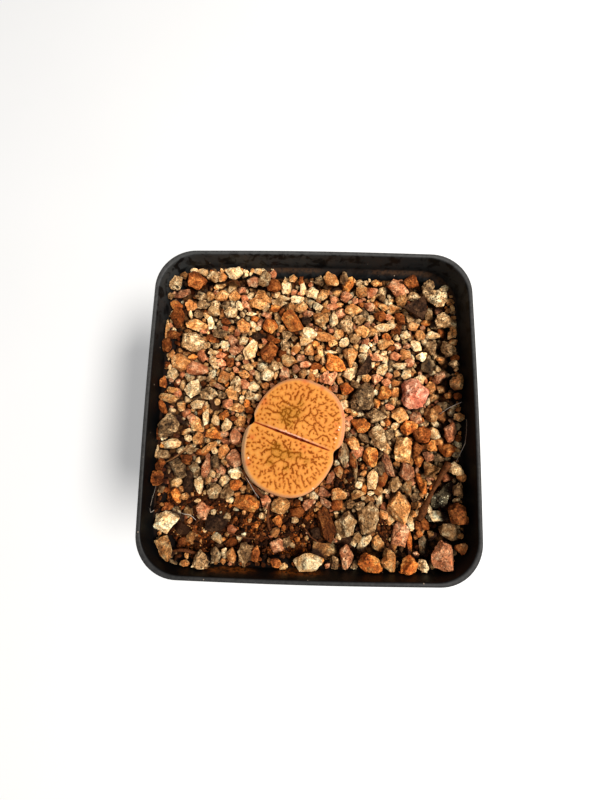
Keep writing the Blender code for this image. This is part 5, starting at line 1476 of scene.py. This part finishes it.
def paint_plant(plant, u, v, mark):
    """Store the marks, windows and seam, and the margin, red tints and lit lip, of the plant."""
    count = len(u)
    marks = np.zeros((len(plant.data.vertices), 3))
    zones = np.zeros_like(marks)
    opening = fissure_opening(u)
    off = np.abs(v)
    seam = smooth_step(SEAM_EDGE, 0, off - FISSURE_HALF * opening) * smooth_step(0, SEAM_OPEN, opening)
    lit = smooth_step(*LIT_LIP, off) * (v > 0)
    lit *= LIT_MEAN + LIT_STRAY * noise_of(np.stack((u, v, np.zeros_like(u)), axis=1), *LIT_NOISE)
    marks[:count, 0] = mark
    marks[:count, 1] = spread_round(u, v, WINDOWS)
    marks[:count, 2] = seam
    zones[:count, 0] = smooth_step(MARGIN_WIDE, MARGIN_FULL, edge_distance(u, v))
    zones[count:, 0] = 1
    zones[:count, 1] = spread_round(u, v, RED_TINTS)
    zones[:count, 2] = np.clip(lit, 0, 1) * np.exp(-(u / LIT_HALF) ** 2) * (1 - seam)
    paint(plant, "marks", marks)
    paint(plant, "zones", zones)


# The stones

class Heap:
    """Points, faces and colour values of the stones of one kind, gathered for one mesh."""

    def __init__(self):
        self.points = []
        self.faces = []
        self.tints = []
        self.form_shadings = []
        self.count = 0

    def add(self, points, faces, tint, form_shading):
        """Take in one more stone."""
        self.points.append(points)
        self.faces.append(faces + self.count)
        self.tints.append(np.tile(tint, (len(points), 1)))
        self.form_shadings.append(form_shading)
        self.count += len(points)


def ball(parts):
    """Directions and faces of an even ball, the sides of an icosahedron cut into some parts."""
    data = bmesh.new()
    bmesh.ops.create_icosphere(data, subdivisions=1, radius=1)
    bmesh.ops.subdivide_edges(data, edges=data.edges, cuts=parts - 1, use_grid_fill=True)
    bmesh.ops.triangulate(data, faces=data.faces)
    data.verts.index_update()
    directions = np.array([vert.co for vert in data.verts])
    faces = np.array([[vert.index for vert in face.verts] for face in data.faces])
    data.free()
    return directions / np.linalg.norm(directions, axis=1)[:, None], faces


def facets(draw):
    """Directions of the facets of a crushed stone, over their distances from its middle."""
    count = draw.randint(*STONE_FACETS)
    rows = []
    for index in range(count):
        rise = 1 - 2 * (index + 0.5) / count
        angle = index * math.pi * (3 - math.sqrt(5))
        flat = math.sqrt(1 - rise * rise)
        stray = [draw.uniform(-STONE_FACET_STRAY, STONE_FACET_STRAY) for axis in range(3)]
        normal = np.array((flat * math.cos(angle), flat * math.sin(angle), rise)) + stray
        rows.append(normal / np.linalg.norm(normal) / draw.uniform(*STONE_FACET_REACH))
    return np.array(rows)


def stone_points(kind, seed, length, width, turn, directions):
    """Points of a crushed stone round its middle, and how far each lies on an edge, in a pit or low."""
    draw = random.Random(seed)
    height = width * (BARK_HEIGHT if kind == "bark" else STONE_HEIGHT)
    rough = ROUGHER if kind in ROUGH_KINDS else 1.0
    toward = np.clip(directions @ facets(draw).T, LEAST_TOWARD, None)
    power = draw.uniform(*(ROUND_EDGE if kind in ROUND_KINDS else STONE_EDGE))
    reach = (toward ** power).sum(axis=1) ** (-1 / power)
    ranked = np.sort(toward, axis=1)
    # lighter edges: wear, and a painted highlight
    edge = smooth_step(EDGE_SPAN, 0.0, 1 - ranked[:, -2] / ranked[:, -1])
    shift = draw.uniform(0, STONE_SHIFT)
    creases = (1 - np.abs(noise(directions * CREASE_WAVES + shift + CREASE_SHIFT))) ** CREASE_POWER
    creased = noise(directions * CREASE_PATCHES + shift + CREASE_PATCH_SHIFT)
    creases *= smooth_step(*CREASE_PATCH_SPAN, creased)
    humps = sum(rise * noise(directions * waves + shift) for rise, waves in STONE_HUMPS)
    reach *= 1 + rough * (humps - CREASE_DEPTH * creases)
    points = directions * reach[:, None]
    points *= np.array((length, width, height)) / np.ptp(points, axis=0)
    grain = np.zeros(len(points))
    for cell, depth in STONE_GRAIN:
        grain += depth * np.minimum(1, width / GRAIN_FULL) * noise_of(points, cell, shift)
    pits = smooth_step(*PIT_SPAN, noise(points / PIT_SIZE + shift + PIT_SHIFT)) * (rough - SMOOTHEST)
    grain -= PIT_DEPTH * pits * np.minimum(1, width / PIT_FULL)
    points += directions * (grain * rough)[:, None]
    # painted shade: the stone's lower side turns dark
    low = smooth_step(*LOW_SHADE_SPAN, points[:, 2] / (height / 2))
    tilt = Euler((draw.uniform(-STONE_TILT, STONE_TILT), draw.uniform(-STONE_TILT, STONE_TILT), turn))
    form_shading = np.stack((edge, np.clip(pits, 0, 1), low), axis=1)
    return points @ np.array(tilt.to_matrix()).T, form_shading


def body_inner_half(z):
    """Half width inside the pot's body wall."""
    part = (z - FOOT_CHAMFER) / (STEP_FOOT_Z - FOOT_CHAMFER)
    return BODY_FOOT_HALF + (BODY_TOP_HALF - BODY_FOOT_HALF) * np.minimum(part, 1) - WALL - GAP


def keep_clear(points):
    """Press points off the pot's walls and ledge and off the plant."""
    middle, along, across = plant_axes()
    reach = square_reach(points)
    points[:, :2] *= np.minimum(1, COLLAR_INNER / reach)[:, None]
    reach = np.minimum(reach, COLLAR_INNER)
    ledge_z = np.interp(reach, (LEDGE_INNER, COLLAR_INNER), (STEP_FOOT_Z + WALL, LEDGE_TOP_Z)) + LEDGE_CLEAR
    over_ledge = (reach > body_inner_half(points[:, 2])) & (points[:, 2] < ledge_z)
    points[over_ledge, 2] = ledge_z[over_ledge]
    off = points[:, :2] - np.array(middle)
    part = outline_part(off @ np.array(along), off @ np.array(across))
    grow = np.maximum(1, PLANT_CLEAR / np.maximum(part, LEAST_PART))[:, None]
    points[:, :2] = np.array(middle) + off * np.where((part < PLANT_CLEAR)[:, None], grow, 1)
    return points


def ground(x, y):
    """Height that stones lie on at a place: the bed's, or the ledge's near the walls."""
    reach = square_reach(np.array([(x, y, 0.0)]))[0]
    rise = LEDGE_TOP_Z + GROUND_OVER_LEDGE - BED_TOP_Z
    return BED_TOP_Z + rise * smooth_step(LEDGE_INNER - GROUND_REACH, LEDGE_INNER, reach)


def patch_share(points, patches):
    """How far places lie in some patches of the reference picture, from 0 to 1."""
    seen = on_picture(points)
    inside = [1 - np.hypot((seen[:, 0] - x) / wide, (seen[:, 1] - y) / high)
              for x, y, wide, high in patches]
    return smooth_step(*PATCH_EDGE, np.max(inside, axis=0))


def draw_kind(draw, kinds):
    """One kind, drawn by its weight."""
    return draw.choices(list(kinds), weights=list(kinds.values()))[0]


def listed_stones():
    """The stones that stand out, as (kind, place, length, width, turn, seed, height)."""
    for kind, rows in STONES.items():
        for px, py, picture_length, picture_width, degrees in rows:
            spot = below_picture(px, py, STONE_LEVEL_Z)
            scale = (EYE.z - STONE_LEVEL_Z) / FOCAL
            rise = ground(spot.x, spot.y) - BED_TOP_Z
            spot = below_picture(px, py, STONE_LEVEL_Z + rise * LEDGE_SEEN)
            grow = np.interp((picture_length + picture_width) / 2 * scale, *zip(*STONE_GROW))
            length = picture_length * scale * grow
            width = picture_width * scale * grow
            share = STONE_LIFT + (LEDGE_LIFT - STONE_LIFT) * rise / (LEDGE_TOP_Z - BED_TOP_Z)
            lift = share * STONE_HEIGHT * width + SMALL_LIFT * max(0, SMALL_STONE - length)
            height = ground(spot.x, spot.y) + lift
            yield kind, (spot.x, spot.y), length, width, math.radians(degrees), px * ROW_SEED + py, height


def filling_stones(taken):
    """Stones drawn in the room that is left, from the larger to the smaller."""
    middle, along, across = plant_axes()
    draw = random.Random(FILL_SEED)
    for tries, smallest, largest, crowding, level in FILL_RUNS:
        for attempt in range(tries):
            spot = (draw.uniform(-COLLAR_INNER, COLLAR_INNER), draw.uniform(-COLLAR_INNER, COLLAR_INNER))
            length = draw.uniform(smallest, largest)
            width = length * draw.uniform(*FILL_SLIMNESS)
            turn = draw.uniform(0, math.pi)
            lift = level + draw.uniform(-1, 1) * FILL_SPREAD
            kind, peat, crumb = [draw_kind(draw, kinds) for kinds in (FILL_KINDS, PEAT_KINDS, CRUMB_KINDS)]
            size = (length + width) / 2
            place = np.array([(*spot, BED_TOP_Z)])
            behind = spot[1] > LEDGE_BARE_Y and LEDGE_BARE_X[0] < spot[0] < LEDGE_BARE_X[1]
            limit = LEDGE_INNER - LEDGE_BARE_GAP if behind else COLLAR_INNER
            if square_reach(place)[0] > limit - size * FILL_AT_WALL:
                continue
            off = Vector(spot) - middle
            part = float(outline_part(np.float64(off.dot(along)), np.float64(off.dot(across))))
            if part < 1 + FILL_AT_PLANT * size / PLANT_HALF_LENGTH:
                continue
            near = np.hypot(taken[:, 0] - spot[0], taken[:, 1] - spot[1])
            if np.any(near < crowding * (taken[:, 2] + size) / 2):
                continue
            bare = patch_share(place, PEAT_PATCHES)[0]
            on_peat = bare > 0.5
            if on_peat and (size > PEAT_LARGEST or draw.random() > PEAT_ROOM):
                continue
            taken = np.vstack((taken, (*spot, size)))
            if on_peat:
                kind = crumb if patch_share(place, CRUMB_PATCHES)[0] > 0.5 else peat
            height = ground(*spot) + lift + bare * BED_PEAT_RISE * PEAT_LIFT
            yield kind, spot, length, width, turn, FILL_SEED * FILL_SEED_STEP + len(taken), height


def crevices(points):
    """How deep points of the stones lie under those around them, from 0 to 1, for painted shade."""
    count = math.ceil(2 * RIM_HALF / CREVICE_CELL)
    column = ((points[:, :2] + RIM_HALF) / CREVICE_CELL).astype(int)
    heights = np.full((count, count), BED_RELIEF_Z)
    np.maximum.at(heights, (column[:, 0], column[:, 1]), points[:, 2])
    steps = range(-CREVICE_CELLS, CREVICE_CELLS + 1)
    weights = np.exp(-(np.array(steps) / CREVICE_CELLS * CREVICE_FALL) ** 2)
    for axis in (0, 1):
        heights = np.average([np.roll(heights, step, axis) for step in steps], axis=0, weights=weights)
    return smooth_step(*CREVICE_DEPTH, heights[column[:, 0], column[:, 1]] - points[:, 2])


def taken_places(listed):
    """Places that are taken before the drawn stones come, each with its size."""
    taken = [(*place, (length + width) / 2) for _, place, length, width, *_ in listed]
    taken += [(*below_picture(*corner[:2], STONE_LEVEL_Z).xy, TWIG_CLEAR) for corner in TWIG]
    for corners in CHIPS:
        spots = [below_picture(*corner, STONE_LEVEL_Z).xy for corner in corners]
        middle = sum(spots, Vector((0, 0))) / len(spots)
        taken.append((*middle, CHIP_CLEAR * (spots[0] - spots[2]).length))
    return np.array(taken)


def stone_tint(seed, place):
    """Three values that colour one stone: its tone, how warm it is, and one that shifts its patterns."""
    tint = np.random.default_rng(seed).uniform(0, 1, 3)
    patch = noise_of(np.array([(*place, 0)]), PATCH_SIZE, PATCH_SHIFT)[0]
    # painted shade: darker near the front and side walls and in the listed patches
    unshaded = smooth_step(*SHADE_Y, place[1]) + smooth_step(*SHADE_X, RIM_HALF - abs(place[0]))
    shaded = patch_share(np.array([(*place, BED_TOP_Z)]), SHADE_PATCHES)[0]
    tone = TONE_DRAWN * tint[0] + TONE_UNSHADED * unshaded + TONE_PATCH * patch - TONE_SHADE * shaded + TONE_BASE
    tint[0] = np.clip(tone, 0, 1)
    return tint


def make_stones():
    """All the stones, fused by kind into one piece each."""
    fewest, most = STONE_PARTS
    balls = {parts: ball(parts) for parts in range(fewest, most + 1)}
    heaps = {kind: Heap() for kind in STONE_LOOKS}
    listed = list(listed_stones())
    drawn = list(filling_stones(taken_places(listed)))
    for kind, place, length, width, turn, seed, height in listed + drawn:
        parts = min(most, max(fewest, round((length + width) / 2 / STONE_MESH)))
        directions, faces = balls[parts]
        points, form_shading = stone_points(kind, seed, length, width, turn, directions)
        points += (*place, height)
        heaps[kind].add(keep_clear(points), faces, stone_tint(seed, place), form_shading)
    # painted shade in the crevices, joined with the painted shade low on each stone
    shade = crevices(np.concatenate([points for heap in heaps.values() for points in heap.points]))
    start = 0
    for kind, heap in heaps.items():
        stones = piece("stones_" + kind, np.concatenate(heap.points), np.concatenate(heap.faces),
                       stone_material(kind), "gravel")
        form_shading = np.concatenate(heap.form_shadings)
        form_shading[:, 2] = np.maximum(form_shading[:, 2] * LOW_SHADE_SHARE, shade[start:start + heap.count])
        start += heap.count
        paint(stones, "tint", np.concatenate(heap.tints))
        paint(stones, "form_shading", form_shading)
        stones.data.set_sharp_from_angle(angle=STONE_CREASE)


def in_order(data):
    """The same mesh with its points and faces in an order that their places alone give."""
    verts = sorted(data.verts, key=lambda vert: [round(value / CHIP_ORDER_STEP) for value in vert.co])
    number = {vert: index for index, vert in enumerate(verts)}
    faces = []
    for face in data.faces:
        corners = [number[vert] for vert in face.verts]
        first = corners.index(min(corners))
        faces.append(corners[first:] + corners[:first])
    made = bmesh.new()
    added = [made.verts.new(vert.co) for vert in verts]
    for corners in sorted(faces):
        made.faces.new([added[corner] for corner in corners])
    data.free()
    return made


def make_chips():
    """Flat dark chips of bark that lie on the stones."""
    surface = stone_material("bark")
    for number, (corners, tint) in enumerate(zip(CHIPS, CHIP_TINTS)):
        data = bmesh.new()
        ring = [data.verts.new(below_picture(*corner, STONE_LEVEL_Z + CHIP_OVER)) for corner in corners]
        face = data.faces.new(ring)
        bmesh.ops.recalc_face_normals(data, faces=[face])
        if face.normal.z > 0:
            face.normal_flip()
        raised = bmesh.ops.extrude_face_region(data, geom=[face])
        tops = [item for item in raised["geom"] if isinstance(item, bmesh.types.BMVert)]
        bmesh.ops.translate(data, verts=tops, vec=(0, 0, CHIP_THICKNESS))
        bmesh.ops.recalc_face_normals(data, faces=data.faces)
        bmesh.ops.bevel(data, geom=data.edges, offset=CHIP_EDGE, segments=2, profile=CHIP_EDGE_SHAPE,
                        affect="EDGES")
        data = in_order(data)
        bmesh.ops.triangulate(data, faces=data.faces)
        bmesh.ops.subdivide_edges(data, edges=data.edges, cuts=CHIP_CUTS, use_grid_fill=True)
        data.verts.index_update()
        points = np.array([vert.co for vert in data.verts])
        points += noise(points / CHIP_NOISE)[:, None] * CHIP_RELIEF
        faces = [tuple(vert.index for vert in face.verts) for face in data.faces]
        data.free()
        chip = piece(f"bark_chip_{number}", points, faces, surface, "gravel")
        paint(chip, "tint", np.tile(tint, (len(points), 1)))
        paint(chip, "form_shading", np.zeros((len(points), 3)))


# The bed between the stones

def wall_ring(angles, half):
    """Plan points on the pot's ring of a half width, in some directions from the plant's middle."""
    middle, along, across = plant_axes()
    way = np.outer(np.cos(angles), along) + np.outer(np.sin(angles), across)
    near = np.zeros(len(angles))
    far = np.full(len(angles), WALL_FAR)
    for attempt in range(WALL_ROUNDS):
        reach = (near + far) / 2
        inside = square_reach(np.array(middle) + way * reach[:, None]) < half
        near = np.where(inside, reach, near)
        far = np.where(inside, far, reach)
    return np.array(middle) + way * near[:, None]


def grit(plan):
    """How near places are to the middle of a grain of grit, from 0 to 1, and the grain's tone."""
    draw = np.random.default_rng(GRIT_SEED)
    spots = draw.uniform(-LEDGE_INNER, LEDGE_INNER, (GRIT_COUNT, 2))
    tones = draw.uniform(0, 1, GRIT_COUNT)
    distance, found = nearest(points_tree(spots), plan[:, :2])
    return np.minimum(distance / GRIT_SIZE, 1), tones[found]


def make_bed():
    """The fine bed between and under the stones, as one closed ring round the plant."""
    angles = np.linspace(0, 2 * math.pi, BED_ANGLES, endpoint=False)
    u, v = np.cos(angles), np.sin(angles)
    hole = PLANT_CLEAR / outline_part(u, v)
    inner = on_plan(u * hole, v * hole)
    outer = wall_ring(angles, body_inner_half(BED_RELIEF_Z))
    flat = np.concatenate([inner + (outer - inner) * part for part in np.linspace(0, 1, BED_RINGS)])
    plan = np.column_stack((flat, np.full(len(flat), BED_TOP_Z)))
    peat = patch_share(plan, PEAT_PATCHES)
    crumbs = sum(weight * noise_of(plan, size, shift) for weight, size, shift in BED_CRUMBS)
    start, end = [LEDGE_INNER - reach for reach in BED_WALL_REACH]
    rise = BED_WALL_RISE * smooth_step(start, end, square_reach(plan))
    near, tone = grit(plan)
    peat_rise = BED_PEAT_RISE * peat * (1 - rise / BED_WALL_RISE)
    plan[:, 2] = BED_RELIEF_Z + BED_RELIEF * crumbs + peat_rise + rise
    plan[:, 2] += GRIT_RISE * (1 - near ** 2) * (1 - GRIT_PRESSED * peat)
    foot = (wall_ring(angles, body_inner_half(BED_FOOT_Z)), inner)
    foot = [np.column_stack((ring, np.full(BED_ANGLES, BED_FOOT_Z))) for ring in foot]
    points = np.concatenate((plan, *foot))
    count = BED_RINGS + 2
    faces = ring_faces(count, BED_ANGLES)
    last = (count - 1) * BED_ANGLES
    faces += [(last + index, last + (index + 1) % BED_ANGLES, (index + 1) % BED_ANGLES, index)
              for index in range(BED_ANGLES)]
    bed = piece("grit_bed", points, faces, earth_material("bed_earth"), "gravel")
    mark_points(bed, "peat", peat)
    mark_points(bed, "near", near)
    mark_points(bed, "tone", tone)
    mark_points(bed, "crumbs", patch_share(plan, CRUMB_PATCHES))


# Twig, straw, rootlets and hairs

def smooth_line(rows):
    """Points of a smooth curve through picture points with a height over the bed in millimetres."""
    points = [below_picture(px, py, BED_TOP_Z + rise * MM) for px, py, rise in rows]
    result = []
    padded = [points[0], *points, points[-1]]
    for index in range(1, len(padded) - 2):
        a, b, c, d = padded[index - 1:index + 3]
        for step in range(STRAND_STEPS):
            t = step / STRAND_STEPS
            result.append((b * 2 + (c - a) * t + (a * 2 - b * 5 + c * 4 - d) * t ** 2
                           + (b * 3 - a - c * 3 + d) * t ** 3) / 2)
    result.append(points[-1])
    return result


def tube(line, radii, sides):
    """Points and faces of a tube along a line, closed at both ends."""
    points = []
    for index, middle in enumerate(line):
        after = line[min(index + 1, len(line) - 1)]
        before = line[max(index - 1, 0)]
        way = (after - before).normalized()
        across = way.cross(Vector((0, 0, 1))).normalized()
        up = across.cross(way)
        for side in range(sides):
            angle = 2 * math.pi * side / sides
            points.append(middle + (across * math.cos(angle) + up * math.sin(angle)) * radii[index])
    return np.array(points), capped_faces(len(line), sides)


def make_strands():
    """The dark twig, straw, leaf sheath, rootlets and pale hairs."""
    surfaces = {name: fibre_material(name) for name in FIBRES}
    line = smooth_line(TWIG)
    radii = np.interp(np.linspace(0, 1, len(line)), np.linspace(0, 1, len(TWIG)), TWIG_RADIUS)
    points, faces = tube(line, radii, TWIG_SIDES)
    points += sum(noise(points / size)[:, None] * depth for depth, size in (TWIG_KNOTS, TWIG_BARK))
    piece("twig", keep_clear(points), faces, surfaces["twig_bark"], "gravel")
    for name, (kind, radius, rows) in STRANDS.items():
        line = smooth_line(rows)
        radii = radius * MM * np.sin(np.linspace(*STRAND_TAPER, len(line)) * math.pi)
        points, faces = tube(line, radii, STRAND_SIDES)
        points += noise(points / STRAND_NOISE)[:, None] * STRAND_STRAY * radius * MM
        piece(name, keep_clear(points), faces, surfaces[kind], "gravel")


# Stage

def make_floor():
    """Pale floor, which belongs to the stage alone."""
    data = bmesh.new()
    bmesh.ops.create_grid(data, x_segments=1, y_segments=1, size=FLOOR_HALF)
    mesh = bpy.data.meshes.new("floor")
    data.to_mesh(mesh)
    data.free()
    mesh.materials.append(floor_material())
    add_object("floor", mesh)


def make_light():
    """One broad lamp on the right and a soft white sky."""
    lamp = bpy.data.lights.new("key", "AREA")
    lamp.energy = KEY_POWER
    lamp.shape = "ELLIPSE"
    lamp.size, lamp.size_y = KEY_SIZE
    lamp.color = KEY_COLOUR
    key = add_object("key", lamp)
    toward = Vector((math.cos(KEY_AZIMUTH) * math.cos(KEY_RISE), math.sin(KEY_AZIMUTH) * math.cos(KEY_RISE),
                     math.sin(KEY_RISE)))
    key.location = toward * KEY_DISTANCE + Vector((0, 0, BED_TOP_Z))
    key.rotation_euler = toward.to_track_quat("Z", "Y").to_euler()

    world = bpy.data.worlds.new("studio")
    bpy.context.scene.world = world
    world.use_nodes = True
    sky = world.node_tree.nodes["Background"]
    sky.inputs["Color"].default_value = WHITE
    sky.inputs["Strength"].default_value = SKY_STRENGTH


def make_camera():
    """The reference picture's camera."""
    lens = bpy.data.cameras.new("camera")
    lens.sensor_width = SENSOR
    lens.lens = FOCAL * SENSOR / PICTURE_HEIGHT
    lens.clip_start = NEAREST
    lens.clip_end = FARTHEST
    camera = add_object("camera", lens)
    camera.location = EYE
    camera.rotation_euler = EYE_TURN
    bpy.context.scene.camera = camera
    bpy.context.scene.view_settings.view_transform = "Standard"


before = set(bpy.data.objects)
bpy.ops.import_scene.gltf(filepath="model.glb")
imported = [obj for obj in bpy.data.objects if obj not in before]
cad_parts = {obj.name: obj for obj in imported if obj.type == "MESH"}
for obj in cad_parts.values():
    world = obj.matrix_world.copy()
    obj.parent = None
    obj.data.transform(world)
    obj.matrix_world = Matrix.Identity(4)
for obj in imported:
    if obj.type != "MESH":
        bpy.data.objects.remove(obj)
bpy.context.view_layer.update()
make_floor()
make_light()
make_camera()
make_pot()
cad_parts["potting_mix"].data.materials.clear()
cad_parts["potting_mix"].data.materials.append(earth_material("mix_earth"))
make_bed()
make_stones()
make_chips()
make_strands()
make_lithops()
